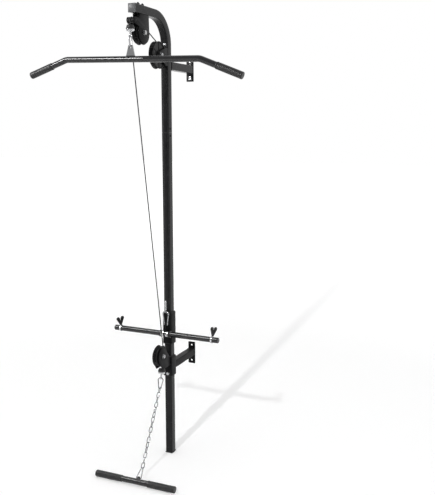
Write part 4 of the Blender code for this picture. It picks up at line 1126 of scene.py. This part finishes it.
@dataclass
class Cables(Assembly):
    """Both cables: their wraps round the pulleys and their straight lengths."""

    front_end_z: float = 2.104
    rear_end_z: float = 0.815
    row_reach: float = 0.001
    row_sink: float = 0.0004
    wrap_steps: tuple[int, ...] = (20, 6, 24, 16)

    def build(self) -> None:
        """Build and place every length."""
        self.main()
        self.low()

    def wrap(self, name: str, path: list[Vector], node: str) -> None:
        """Place a fixed wrap of cable."""
        self.put(name, Shape.wire(path, CABLE_RADIUS, X_AXIS), COATED, node)

    def stretch(self, name: str, start: Vector, end: Vector, mover: str, node: str) -> None:
        """Place a straight length of cable between two points, attached to no body."""
        piece = self.link(name, Shape.wire([start, end], CABLE_RADIUS, X_AXIS), COATED, node)
        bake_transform(piece)

    def main(self) -> None:
        """The main cable from the upper stopper over the pulleys down to the carriage."""
        roller, top, guide, _ = self.wrap_steps
        first = tangent_angle(ROLLER_AT, ROLLER_CABLE, TOP_AT, TOP_CABLE)
        second = tangent_angle(TOP_AT, TOP_CABLE, GUIDE_AT, GUIDE_CABLE)
        route = [(PULL_Y, ROLLER_AT[1] - CABLE_LEAD)] + arc(ROLLER_AT, ROLLER_CABLE, 180, first, roller)
        route += arc(TOP_AT, TOP_CABLE, first, second, top) + arc(GUIDE_AT, GUIDE_CABLE, second, 0, guide)
        path = [mid(*at) for at in [*route, (CARRIAGE_CABLE_Y, GUIDE_AT[1] - CABLE_LEAD)]]
        self.wrap("main_cable_wrap", path, "main_cable")
        front, rear = mid(PULL_Y, self.front_end_z), mid(CARRIAGE_CABLE_Y, self.rear_end_z)
        self.stretch("main_cable_front_length", path[0], front, "lat_pull", "main_cable_front")
        self.stretch("main_cable_rear_length", path[-1], rear, "carriage", "main_cable_rear")

    def low(self) -> None:
        """The low cable from the pull-down bar round the low pulley to the lower stopper."""
        dy, dz = LOW_AT[0] - LOW_CABLE_TOP.y, LOW_CABLE_TOP.z - LOW_AT[1]
        lean = math.atan2(dy, dz) + math.asin(LOW_CABLE / math.hypot(dy, dz))
        first, last = math.degrees(lean), -math.degrees(ROW_LEAN)
        turn = [mid(*at) for at in arc(LOW_AT, LOW_CABLE, first, last, self.wrap_steps[-1])]
        lead = mid(-math.sin(lean), math.cos(lean)) * CABLE_LEAD
        path = [turn[0] + lead, *turn, row_axis(self.row_sink)]
        self.wrap("low_cable_wrap", path, "low_cable")
        self.stretch("low_cable_upper_length", path[0], LOW_CABLE_TOP.copy(), "lat_pull", "low_cable_upper")
        seat, reach = row_axis(ROW_BEND), mid(self.row_reach, 0.0)
        self.stretch("low_cable_row_length", seat + reach, seat - reach, "row_pull", "low_cable_row")


# Stoppers, hooks and chain


@dataclass
class Stopper(Assembly):
    """A rubber cone on the cable's end with a chrome cup, neck and eye below it."""

    prefix: str = "lat"
    top: Vector = field(default_factory=Vector)
    down: Vector = field(default_factory=lambda: -Z_AXIS)
    side: Vector = field(default_factory=X_AXIS.copy)
    cone: Profile = ((0.0, 0.0), (0.0125, 0.0), (0.0150, -0.0015), (0.0195, -0.0168), (0.0188, -0.018),
                     (0.0, -0.018))
    cone_soft: float = 0.0009
    cup: float = 0.012
    cup_radii: Triple = (0.0185, 0.0140, 0.0060)
    cup_steps: Triple = (0.0048, 0.0007, -0.0015)
    cup_soft: float = 0.0016
    neck: Point = (0.0046, 0.009)
    eye: float = 0.0065
    eye_wire: float = 0.0021

    def build(self) -> Vector:
        """Build the stopper, cup and eye.

        Returns:
            The point where a hook's wire sits in the eye.
        """
        at = along(self.top, -self.down, self.side)
        cone = fillet(list(self.cone), self.cone_soft, 4, closed=False)
        mesh = Shape.lathe(cone, at, CUP_STEPS)
        self.put(self.prefix + "_rubber_cone", mesh, RUBBER, self.prefix + "_stopper")
        base = self.cone[-1][1] - GAP
        low = base - self.cup
        wide, middle, small = self.cup_radii
        edge, belly, root = (low + step for step in self.cup_steps)
        stem, end = self.neck[0], low - self.neck[1]
        cup = [(0.0, base), (wide, base), (wide, edge), (middle, belly), (small, low), (stem, root),
               (stem, end - 2 * BITE), (0.0, end - 2 * BITE)]
        centre = end - BITE - self.eye
        loop = [at @ Vector((x, 0.0, z)) for x, z in ring_of((0.0, centre), self.eye, HEAD_STEPS)]
        pieces = [Shape.lathe(fillet(cup, self.cup_soft, 5, closed=False), at, CUP_STEPS),
                  Shape.wire(loop, self.eye_wire, at.to_3x3() @ Y_AXIS, True, EYE_SIDES)]
        self.put(self.prefix + "_chrome_cup", pieces, CHROME, self.prefix + "_cup")
        return at @ Vector((0.0, 0.0, centre - self.eye + self.eye_wire + GAP))


@dataclass
class SnapHook(Assembly):
    """A pear-shaped snap hook with a sprung gate."""

    node: str = "lat_hook"
    gate_body: str = "lat_gate"
    at: Matrix = field(default_factory=Matrix)
    length: float = 0.060
    wide: float = 0.030
    narrow: float = 0.021
    wire: float = HOOK_WIRE
    nose: float = 0.90
    heel: float = 0.14
    end_scale: float = 0.86
    rivet: Point = (1.12, 0.36)
    rivet_edge: float = 0.0003
    bend_steps: tuple[int, int] = (24, 28)
    sides: int = 18
    rivet_steps: int = 20
    gate_steps: int = 28
    pin_scale: float = 0.85
    notch: Profile = ((1.0, 0.12), (0.84, 0.14), (0.84, 0.20), (1.0, 0.22))

    def build(self) -> None:
        """Build the hook and its gate."""
        wire, normal = self.wire, self.at.to_3x3() @ Y_AXIS
        big, small = self.wide / 2 - wire, self.narrow / 2 - wire
        top, low = (0.0, -big), (0.0, small + 2 * wire - self.length)
        lean = math.degrees(math.asin((big - small) / (top[1] - low[1])))
        start = Vector(on_circle(low, small, lean))
        run = Vector(on_circle(top, big, lean)) - start
        nose, heel, unit = start + run * self.nose, start + run * self.heel, run.normalized()
        lower, upper = self.bend_steps
        flat = [heel - unit * FINE_EDGE, *arc(low, small, lean, -180 - lean, lower),
                *arc(top, big, 180 - lean, lean, upper), nose]
        pin = wire * self.pin_scale
        inset = unit * (pin + GAP)
        *path, pivot, tip = [self.at @ Vector((x, 0.0, z)) for x, z in [*flat, heel + inset, nose - inset]]
        scales = [self.end_scale] + [1.0] * (len(path) - 2) + [self.end_scale]
        reach, radius = normal * wire * self.rivet[0], wire * self.rivet[1]
        pieces = [Shape.wire(path, wire, normal, False, self.sides, scales),
                  Shape.rod(pivot - reach, pivot + reach, radius, self.rivet_steps, self.rivet_edge)]
        self.put(self.node + "_bow", pieces, STEEL, self.node)
        span = (tip - pivot).length
        profile = [(0.0, -pin)] + [on_circle((0.0, 0.0), pin, degrees) for degrees in range(-78, 1, 13)]
        profile += [(pin * scale, span * share) for scale, share in self.notch]
        profile += [on_circle((0.0, span), pin, degrees) for degrees in range(0, 80, 13)]
        profile.append((0.0, span + pin))
        gate = Shape.lathe(profile, along(pivot, tip - pivot, normal), self.gate_steps)
        self.put(self.node + "_gate_finished", gate, STEEL, self.node + "_gate", self.gate_body)


@dataclass
class Chain(Assembly):
    """The chain with its ring, from the lower hook to the short bar."""

    body: str = "row_chain"
    hook_wire: Vector = field(default_factory=Vector)
    end: Vector = field(default_factory=lambda: mid(-0.2937, 0.043))
    facing: tuple[int, ...] = (66, -15, 78, 0, 60, -42, 30, -70, 10, -85, 22, -45, 68, -10, 85, 0)
    first_facing: int = 24
    pitch: float = 0.0240
    wire: float = 0.0021
    width: float = 0.0175
    seat: float = 0.0016
    weld_swell: float = 1.12
    bend_steps: int = 12
    sides: int = 12
    ring_wire: float = 0.0024
    ring_halves: Point = (0.0135, 0.0032)
    ring_corner: tuple[float, int] = (0.0062, 8)

    def build(self) -> None:
        """Build the chain and the ring."""
        run = (self.end - self.hook_wire).normalized()
        start = self.hook_wire - run * (HOOK_WIRE + self.seat)
        step = (self.end - start) / len(self.facing)
        bend = self.width / 2 - self.wire
        straight = (self.pitch + 2 * self.wire) / 2 - bend
        cuts = self.bend_steps
        shape = arc((0.0, straight), bend, 0, 180, cuts) + arc((0.0, -straight), bend, 180, 360, cuts)
        swell = [self.weld_swell if k in (cuts, cuts + 1) else 1.0 for k in range(len(shape))]
        pieces = []
        for i, degrees in enumerate(self.facing):
            side = Vector((*on_circle((0, 0), 1.0, self.first_facing + degrees), 0.0))
            at = along(start + step * (i + 0.5), -run, side)
            path = [at @ Vector((x, 0.0, z)) for x, z in shape]
            pieces.append(Shape.wire(path, self.wire, at.to_3x3() @ Y_AXIS, True, self.sides, swell))
        self.put("chain_links", pieces, STEEL, "row_chain")
        self.ring(self.end - run * (self.ring_wire + self.seat))

    def ring(self, apex: Vector) -> None:
        """The triangular ring.

        Args:
            apex: The point of the ring's wire nearest the chain.
        """
        run = LUG_HOLE - apex
        up, (wide, narrow) = -run.normalized(), self.ring_halves
        corners = [(wide, -run.length), (narrow, 0.0), (-narrow, 0.0), (-wide, -run.length)]
        path = [apex + X_AXIS * x + up * z for x, z in fillet(corners, *self.ring_corner)]
        mesh = Shape.wire(path, self.ring_wire, up.cross(X_AXIS), True)
        self.put("triangle_ring", mesh, STEEL, "row_ring")


@dataclass
class Hooks:
    """Both stoppers, the three snap hooks and the chain."""

    lat_top: float = 2.108
    carriage_hook: Point = (0.038, 0.025)
    row_hook: Triple = (0.060, 0.035, 0.020)

    def build(self) -> None:
        """Build and place every piece."""
        seat = Stopper(body="lat_pull", top=mid(PULL_Y, self.lat_top)).build()
        start = seat + Z_AXIS * HOOK_WIRE
        length = start.z + 2 * HOOK_WIRE - (PLATE_HOLE_Z + LAT_HOLE_RADIUS - HOOK_WIRE - HOOK_SEAT)
        at = Matrix.Translation(start) @ Matrix.Rotation(math.radians(90), 4, "Z")
        SnapHook(body="lat_pull", at=at, length=length).build()
        wire, (wide, narrow) = CARRIAGE_WIRE, self.carriage_hook
        top = mid(CARRIAGE_CABLE_Y, CARRIAGE_HOOK_TOP - wire)
        length = top.z + wire - (CARRIAGE_LUG_Z + CARRIAGE_LUG_RADIUS - wire - HOOK_SEAT - wire)
        at = Matrix.Translation(top)
        SnapHook(body="carriage", node="carriage_hook", gate_body="carriage_gate", at=at, length=length,
                 wide=wide, narrow=narrow, wire=wire).build()
        down = mid(-math.sin(ROW_LEAN), -math.cos(ROW_LEAN))
        side = mid(down.z, -down.y)
        seat = Stopper(body="row_swing", prefix="row", top=row_axis(0.0), down=down, side=side).build()
        length, wide, narrow = self.row_hook
        at = along(seat - down * HOOK_WIRE, -down)
        SnapHook(body="row_swing", node="row_hook", gate_body="row_gate", at=at, length=length, wide=wide,
                 narrow=narrow).build()
        Chain(hook_wire=at @ Vector((0.0, 0.0, 2 * HOOK_WIRE - length))).build()


# Bars and grips


@dataclass(frozen=True)
class Grip:
    """A ribbed rubber grip with a closed end."""

    length: float
    pitch: float = 0.0042
    play: float = 0.0004
    first_rib: float = -0.0095
    smooth: float = 0.022
    cap: float = 0.0005
    head: Profile = ((-0.0030, 0.0040), (-0.0009, 0.0032), (0.0, 0.0008), (0.0, -0.0075), (-0.0005, -0.0085))
    rib: Profile = ((0.0005, 0.0), (0.0001, -0.0008), (0.0001, -0.0026), (0.0005, -0.0034))
    tail: Profile = ((-0.0005, 0.0075), (0.0, 0.0065), (0.0, 0.0010), (-0.0009, 0.0))

    def mesh(self, end: Vector, inward: Vector) -> Mesh:
        """Build the grip.

        Args:
            end: The bar's end that it covers.
            inward: Direction along the bar from that end.

        Returns:
            The mesh.
        """
        outer, inner = GRIP_RADIUS, BAR_RADIUS + self.play
        profile = [(0.0, self.head[0][1])] + [(outer + step, height) for step, height in self.head]
        for i in range(round((self.length - self.smooth) / self.pitch)):
            base = self.first_rib - i * self.pitch
            profile += [(outer - step, base + height) for step, height in self.rib]
        profile += [(outer + step, height - self.length) for step, height in self.tail]
        profile += [(inner, -self.length), (inner, self.cap), (0.0, self.cap)]
        return Shape.lathe(profile, along(end, -inward, Y_AXIS), BAR_STEPS)


@dataclass
class PullDownBar(Assembly):
    """The bent bar with its grips, its plate and the low cable's fitting."""

    body: str = "lat_bar"
    tilt: float = math.radians(1.70)
    bar_z: float = 1.963
    shift: float = -0.002
    straight: float = 0.335
    half: float = 0.528
    drop: float = 0.069
    bend_radius: float = 0.060
    bend_steps: int = 14
    grip: Grip = Grip(0.122)
    plate_halves: Triple = (0.0215, 0.0105, 0.0085)
    plate_size: Point = (0.006, 0.0006)
    plate_over: Point = (0.003, 0.002)
    plate_soft: float = 0.0015
    weld: Point = (0.0004, 0.0011)
    stud: Triple = (0.003, 0.003, 0.010)
    ferrule: Profile = ((0.0, 0.0), (0.0048, 0.0), (0.0048, 0.005), (0.0041, 0.006), (0.0041, 0.0085),
                        (0.0048, 0.0095), (0.0048, 0.0175), (0.0036, 0.0192), (0.0028, 0.0195),
                        (0.0, 0.0195))
    ferrule_up: float = 0.014

    def build(self) -> None:
        """Build and place every piece."""
        at = Matrix.Translation(mid(PULL_Y, PLATE_HOLE_Z)) @ Matrix.Rotation(self.tilt, 4, "Y")
        down = self.bar_z - PLATE_HOLE_Z
        lean = math.atan2(self.drop, self.half - self.straight)
        start = self.straight - self.bend_radius * math.tan(lean / 2)
        side = [(start, 0.0)]
        for i in range(1, self.bend_steps + 1):
            angle = lean * i / self.bend_steps
            side.append(on_circle((start, -self.bend_radius), self.bend_radius, 90 - math.degrees(angle)))
        side.append((self.half, -self.drop))
        flat = [(-x, z) for x, z in reversed(side)] + side
        path = [at @ Vector((x + self.shift, 0.0, z + down)) for x, z in flat]
        self.put("bent_bar", Shape.wire(path, BAR_RADIUS, Y_AXIS, sides=HEAD_STEPS), GLOSS, "lat_bar")
        for label, sign in ENDS:
            end = at @ Vector((sign * self.half + self.shift, 0.0, down - self.drop))
            inward = at.to_3x3() @ Vector((-sign * math.cos(lean), 0.0, math.sin(lean)))
            self.put(f"pull_grip_{label}", self.grip.mesh(end, inward), RUBBER, f"lat_grip_{label}")
        self.plate(at, down)
        self.fitting()

    def plate(self, at: Matrix, down: float) -> None:
        """The trapezoid plate that the hook passes through, and its weld.

        Args:
            at: Frame at the plate's hole.
            down: Height of the bar's axis in that frame.
        """
        (over, cut), (wide, narrow, tip) = self.plate_over, self.plate_halves
        thick, edge = self.plate_size
        low, high = down + BAR_RADIUS - GAP, LAT_HOLE_RADIUS + over
        corners = [(-wide, low), (wide, low), (narrow, high - cut), (tip, high), (-tip, high),
                   (-narrow, high - cut)]
        holes = [ring_of((0.0, 0.0), LAT_HOLE_RADIUS, HEAD_STEPS)]
        outline = fillet(corners, self.plate_soft, 3)
        mesh = Shape.plate(outline, holes, thick, at @ front_plane(0.0), edge)
        self.put("hook_plate", mesh, DULL_STEEL, "lat_plate")
        sink, radius = self.weld
        path = [at @ Vector((x, y, low + sink)) for x, y in oblong(-wide, wide, -thick / 2, thick / 2)]
        self.put("plate_weld", Shape.bead(path, radius, at.to_3x3() @ Z_AXIS), POWDER)

    def fitting(self) -> None:
        """The stud and ferrule that hold the low cable's end."""
        radius, reach, up = self.stud
        x, y, z = LOW_CABLE_TOP
        slope = (mid(LOW_AT[0] + LOW_CABLE, LOW_AT[1]) - LOW_CABLE_TOP).normalized()
        at = along(LOW_CABLE_TOP - slope * self.ferrule_up, slope)
        stud = Shape.rod(Vector((x, PULL_Y + reach + GAP, z + up)), Vector((x, y + reach, z + up)), radius)
        ferrule = Shape.lathe(fillet(list(self.ferrule), FINE_EDGE, 2, closed=False), at, FERRULE_STEPS)
        self.put("low_cable_fitting", [stud, ferrule], MOULDED, "low_cable_end")


@dataclass
class RowBar(Assembly):
    """The short bar with its lug and grips."""

    body: str = "row_chain"
    centre: Vector = field(default_factory=lambda: Vector((0.007, -0.3773, 0.0163)))
    half: float = 0.208
    grip: Grip = Grip(0.138)
    lug_size: Triple = (0.0042, 0.010, 0.0008)
    lug_lobe: Bend = (0.0085, -60, 100, 24)
    lug_foot: Bend = (BAR_RADIUS - BITE, 62, -52, 12)

    def build(self) -> None:
        """Build and place every piece."""
        reach = ROW_RUN * (self.half - BITE)
        hole, thick, edge = self.lug_size
        place = LUG_HOLE.yz
        outline = arc(self.centre.yz, *self.lug_foot) + arc(place, *self.lug_lobe)
        holes, plane = [ring_of(place, hole, ROUND_STEPS)], side_plane(LUG_HOLE.x)
        pieces = [Shape.rod(self.centre - reach, self.centre + reach, BAR_RADIUS, WASHER_STEPS),
                  Shape.plate(outline, holes, thick, plane, edge)]
        self.put("short_bar", pieces, GLOSS, "row_bar")
        for label, sign in ENDS:
            mesh = self.grip.mesh(self.centre + ROW_RUN * sign * self.half, -ROW_RUN * sign)
            self.put(f"row_handle_{label}", mesh, RUBBER, f"row_grip_{label}")


# Carriage


@dataclass
class Carriage(Assembly):
    """The sliding sleeve with its weight bar, collars and wing screws."""

    body: str = "carriage"
    span: Point = (0.594, 0.751)
    glide_rim: Point = (GAP, 0.004)
    glide_core: Point = (-0.030, 0.003)
    rim_out: Point = (SLEEVE - BITE, 0.005)
    bar: Point = (-0.043, 0.6495)
    bar_half: float = 0.292
    bar_edge: float = 0.0015
    bar_soft: float = 0.0010
    disc: Triple = (0.0172, 0.0195, 0.030)
    spacer: Triple = (0.0158, 0.004 + GAP, 0.0195 - GAP)
    spacer_edge: float = 0.0009
    lug_low: Profile = ((-SLEEVE / 2 - GAP, 0.627), (-0.034, 0.627))
    lug_foot: Bend = (0.0187, -75, -190, 30)
    lug_head: Bend = (0.0112, -190, -270, 16)
    lug_shift: Point = (-0.001, 0.0015)
    lug_over: float = 0.012
    lug_size: Point = (0.008, 0.0008)
    lug_weld: Triple = (0.628, 0.7005, 0.0014)
    loop: Point = (0.0062, 0.0022)
    ferrule_z: float = 0.819
    ferrule: Triple = (0.0045, 0.0037, 0.0030)
    ferrule_soft: float = 0.0005
    crimps: int = 4
    crimp_pitch: Point = (0.008, 0.0085)
    crimp_steps: Profile = ((0, 0.0), (1, 0.0012), (1, 0.0036), (0, 0.0048))
    collar_x: float = 0.257
    collar: Triple = (0.0170, 0.0042, 0.0010)
    hub: Profile = ((0.0, 0.0335), (0.0052, 0.0325), (0.0064, 0.0215), (0.0052, 0.0170 + GAP),
                    (0.003, 0.0170 + GAP), (0.003, 0.0144), (0.0, 0.0144))
    wing_foot: Profile = ((0.0, 0.0200), (0.0064, 0.0210))
    wing_notch: Point = (0.0, 0.0375)
    wing_centre: Point = (0.0118, 0.0535)
    wing_lobe: Bend = (0.0096, -25, 155, 14)
    wing_size: Point = (0.0055, 0.0015)
    knob_soft: Point = (0.0008, 0.0015)
    screw_turns: tuple[Point, Point] = ((-10, 60), (25, -22))

    def build(self) -> None:
        """Build and place every piece."""
        self.sleeve()
        self.lug()
        self.weight_bar()
        self.cable_end()
        for (label, sign), (lean, turn) in zip(ENDS, self.screw_turns):
            self.clamp(label, sign, math.radians(lean), math.radians(turn))

    def sleeve(self) -> None:
        """The square sleeve and its two glides."""
        self.put("carriage_tube", Shape.sleeve(*self.span, SHELL_OUT, SHELL_IN), SATIN_PAINTED_SHADE, "carriage_sleeve")
        for label, lip, sign in (("top", self.span[1], 1), ("bottom", self.span[0], -1)):
            pieces = [Shape.sleeve(*sorted(lip + sign * way for way in ways), outside, LINER_IN)
                      for ways, outside in ((self.glide_rim, self.rim_out), (self.glide_core, LINER_OUT))]
            self.put(f"glide_{label}", pieces, MOULDED, f"carriage_glide_{label}")

    def lug(self) -> None:
        """The lug plate between sleeve and weight bar, with its weld."""
        rear = self.lug_low[0][0]
        eye, (dy, dz) = (CARRIAGE_CABLE_Y, CARRIAGE_LUG_Z), self.lug_shift
        head = arc((eye[0] + dy, eye[1] + dz), *self.lug_head)
        outline = [*self.lug_low, *arc(self.bar, *self.lug_foot), *head, (rear, eye[1] + self.lug_over)]
        holes = [ring_of(self.bar, BAR_RADIUS + GAP, WASHER_STEPS),
                 ring_of(eye, CARRIAGE_LUG_RADIUS, ROUND_STEPS)]
        thick, edge = self.lug_size
        low, high, radius = self.lug_weld
        loop = [Vector((x, rear, z)) for x, z in oblong(-thick / 2, thick / 2, low, high)]
        pieces = [Shape.plate(outline, holes, thick, side_plane(0.0), edge),
                  Shape.bead(loop, radius, Y_AXIS)]
        self.put("lug_plate", pieces, SATIN_PAINTED_SHADE, "carriage_lug")

    def weight_bar(self) -> None:
        """The weight bar with its two inner discs, and the chrome spacers."""
        half, edge, (disc, near, far) = self.bar_half, self.bar_edge, self.disc
        end = [(0.0, half), (BAR_RADIUS - edge, half), (BAR_RADIUS, half - edge), (BAR_RADIUS, far),
               (disc, far), (disc, near), (BAR_RADIUS, near)]
        at = across(*self.bar)
        profile = fillet(end + mirrored(end), self.bar_soft, 3, closed=False)
        mesh = Shape.lathe(profile, at, BAR_STEPS)
        self.put("weight_bar_turned", mesh, GLOSS, "weight_bar")
        outer, near, far = self.spacer
        radii = (BAR_RADIUS + BAR_PLAY, outer)
        for label, sign in ENDS:
            ends = (sign * near, sign * far)
            ring = Shape.washer(at, radii, ends, self.spacer_edge, COLLAR_CUTS, RACE_STEPS)
            self.put(f"chrome_spacer_{label}", ring, CHROME, f"spacer_{label}")

    def cable_end(self) -> None:
        """The loop and crimped ferrule of the main cable."""
        y, (loop, wire) = CARRIAGE_CABLE_Y, self.loop
        centre = CARRIAGE_HOOK_TOP + wire + GAP - loop
        path = [mid(*at) for at in ring_of((y, centre), loop, HEAD_STEPS)]
        eye = Shape.wire(path, wire, X_AXIS, True, EYE_SIDES)
        outer, inner, edge = self.ferrule
        start = centre + loop - BITE
        length = self.ferrule_z - start
        profile = [(0.0, 0.0), (edge, 0.0), (outer, edge)]
        for i in range(self.crimps):
            base = self.crimp_pitch[0] + i * self.crimp_pitch[1]
            for pressed, height in self.crimp_steps:
                profile.append((inner if pressed else outer, base + height))
        profile += [(outer, length - edge), (edge, length), (0.0, length)]
        at = Matrix.Translation(mid(y, start))
        ferrule = Shape.lathe(fillet(profile, self.ferrule_soft, 2, closed=False), at, FERRULE_STEPS)
        self.put("cable_eye", [eye, ferrule], ZINC, "main_cable_end")

    def clamp(self, label: str, sign: int, lean: float, turn: float) -> None:
        """A chrome collar and its wing screw.

        Args:
            label: left or right.
            sign: Side of the bar.
            lean: Lean of the screw about the bar.
            turn: Turn of the wings about the screw.
        """
        outer, half, edge = self.collar
        centre = Vector((sign * self.collar_x, *self.bar))
        radii = (BAR_RADIUS + BAR_PLAY, outer)
        axis = across(*self.bar, centre.x)
        ring = Shape.washer(axis, radii, (half, -half), edge, COLLAR_CUTS, CUP_STEPS)
        self.put(f"chrome_collar_{label}", ring, CHROME, f"collar_{label}", f"collar_{label}")
        at = along(centre, mid(math.sin(lean), math.cos(lean))) @ Matrix.Rotation(turn, 4, "Z")
        lobe = arc(self.wing_centre, *self.wing_lobe)
        wings = [*self.wing_foot, *lobe, self.wing_notch, *((-x, z) for x, z in reversed(lobe)),
                 (-self.wing_foot[1][0], self.wing_foot[1][1])]
        (thick, edge), (hub_soft, wing_soft) = self.wing_size, self.knob_soft
        pieces = [Shape.lathe(fillet(list(self.hub), hub_soft, 3, closed=False), at, HEAD_STEPS),
                  Shape.plate(fillet(wings, wing_soft, 2), [], thick, at @ front_plane(0.0), edge)]
        self.put(f"wing_knob_{label}", pieces, MOULDED, f"wing_screw_{label}", f"wing_screw_{label}")


# Studio


@dataclass
class Studio:
    """Camera, lamps, world and floor."""

    eye: Triple = (1.6197, -3.0413, 1.6631)
    pitch: float = 90 - 9.599
    azimuth: float = 23.967
    lens: float = 50.91
    sensor: float = 36.0
    key_at: Triple = (0.22, -4.55, 3.81)
    key_power: float = 14.0
    key_size: float = 0.10
    strip_at: Triple = (-1.25, -1.45, 2.57)
    strip_size: Point = (1.2, 0.16)
    strip_power: float = 40.0
    strip_aim: float = 1.0
    room_front: float = 0.5
    room_light: float = 0.75
    room_fade: Point = (-0.4, 0.5)
    floor_size: float = 30.0
    floor_sink: float = 0.0005
    floor_colour: float = 0.80
    floor_roughness: float = 0.95
    floor_glow: Point = (0.24, 0.50)
    floor_fade: Point = (2.0, 7.0)

    def build(self) -> None:
        """Set up the whole studio."""
        self.camera()
        self.lamps()
        self.room()
        self.floor()
        bpy.context.scene.view_settings.view_transform = "Standard"

    def camera(self) -> None:
        """The camera at the photograph's place and angle."""
        data = bpy.data.cameras.new("camera")
        data.lens, data.sensor_width = self.lens, self.sensor
        camera = linked("camera", data)
        camera.location = self.eye
        camera.rotation_euler = (math.radians(self.pitch), 0.0, math.radians(self.azimuth))
        bpy.context.scene.camera = camera

    def lamps(self) -> None:
        """A key lamp of even strength from the user's side, and a strip that shows only in reflections."""
        key = bpy.data.lights.new("key", "POINT")
        key.energy, key.shadow_soft_size, key.use_nodes = self.key_power, self.key_size, True
        graph = Graph(key.node_tree)
        even = graph.add("LightFalloff", {"Strength": 1.0}).outputs["Constant"]
        graph.feed(graph.tree.nodes["Emission"], {"Strength": even})
        linked("key", key).location = self.key_at
        strip = bpy.data.lights.new("strip", "AREA")
        strip.shape, strip.energy = "RECTANGLE", self.strip_power
        strip.size, strip.size_y = self.strip_size
        lamp, place = linked("strip", strip), Vector(self.strip_at)
        lamp.matrix_world = along(place, place - Vector((place.x, 0.0, self.strip_aim)))
        lamp.visible_diffuse = False

    @staticmethod
    def seen_rays(graph: Graph) -> Node:
        """A value that is 1 for rays from the camera, reflections and glass, and 0 for scattered light.

        Args:
            graph: Node tree to add to.

        Returns:
            The node.
        """
        rays = graph.add("LightPath").outputs
        total = rays["Is Camera Ray"]
        for label in ("Is Glossy Ray", "Is Transmission Ray"):
            total = graph.add("Math", {0: total, 1: rays[label]}, operation="MAXIMUM")
        return total

    def room(self) -> None:
        """The world: a white room, dimmer to reflections behind the camera and to scattered light."""
        world = bpy.data.worlds.new("white_room")
        world.use_nodes = True
        graph = Graph(world.node_tree)
        graph.tree.nodes.clear()
        where = graph.add("SeparateXYZ", {"Vector": graph.add("TexCoord").outputs["Generated"]})
        depth = graph.add("MapRange", {"Value": where.outputs["Y"], "From Min": self.room_fade[0],
                                       "From Max": self.room_fade[1], "To Min": self.room_front})
        camera = graph.add("LightPath").outputs["Is Camera Ray"]
        seen = graph.add("Math", {0: camera, 1: depth}, operation="MAXIMUM")
        lit, shown = (graph.add("Background", {"Color": WHITE, "Strength": level})
                      for level in (self.room_light, seen))
        mix = graph.add("MixShader", {"Fac": self.seen_rays(graph), 1: lit, 2: shown})
        graph.add("OutputWorld", {"Surface": mix})
        bpy.context.scene.world = world

    def floor(self) -> None:
        """A white floor that keeps the shadow and meets the white world without a line."""
        bm = bmesh.new()
        bmesh.ops.create_grid(bm, x_segments=2, y_segments=2, size=self.floor_size)
        floor = linked("floor", Shape.close(bm))
        floor.location = (0.0, 0.0, -self.floor_sink)
        made = bpy.data.materials.new("white_floor")
        made.use_nodes = True
        graph = Graph(made.node_tree)
        shader = graph.tree.nodes["Principled BSDF"]
        grey = (*(self.floor_colour,) * 3, 1.0)
        graph.feed(shader, {"Base Color": grey, "Roughness": self.floor_roughness,
                            "Specular IOR Level": 0.0})
        away = graph.add("VectorMath", {0: graph.add("TexCoord").outputs["Object"]}, operation="LENGTH")
        limits = zip(("From Min", "From Max", "To Min", "To Max"), (*self.floor_fade, *self.floor_glow))
        fade = graph.add("MapRange", {"Value": away.outputs["Value"], **dict(limits)})
        share = graph.add("Math", {0: self.seen_rays(graph), 1: fade}, operation="MULTIPLY")
        total = graph.add("AddShader", {0: shader, 1: graph.add("Emission", {"Strength": share})})
        graph.feed(graph.tree.nodes["Material Output"], {"Surface": total})
        floor.data.materials.append(made)


def dress_nodes() -> None:
    """Give every CAD node its procedural finish, also where a finer piece stands for it."""
    finishes = (POWDER, MOULDED, RUBBER, CHROME, ZINC, STEEL, GREY_CAP, COATED)
    by_slot = {finish.slot: finish for finish in finishes}
    slots = {entry["node"]: entry["material_slot"] for entry in frame["record"]["subparts"]}
    for name, node in frame["nodes"].items():
        finish = by_slot[slots[name]]
        node.data.materials.clear()
        node.data.materials.append(finish.material())
        LOG.info("%s dressed in %s", name, finish.title)


def main() -> None:
    logging.basicConfig(level=logging.INFO, format="%(name)s %(message)s")
    Studio().build()
    dress_nodes()
    pulleys = (Pulley("frame", TOP_AT, TOP_RADIUS, TOP_CABLE, "top_pulley"),
               Pulley("frame", GUIDE_AT, GUIDE_RADIUS, GUIDE_CABLE, "guide_pulley"),
               Pulley("frame", LOW_AT, LOW_RADIUS, LOW_CABLE, "low_pulley"))
    for assembly in (Cables(), Upright(), WallBrackets(), PulleyBrackets(), *pulleys, FrontRoller(), Hooks(),
                     PullDownBar(), Carriage(), RowBar()):
        assembly.build()
        LOG.info("%s is built", type(assembly).__name__)


if __name__ == "__main__":
    main()
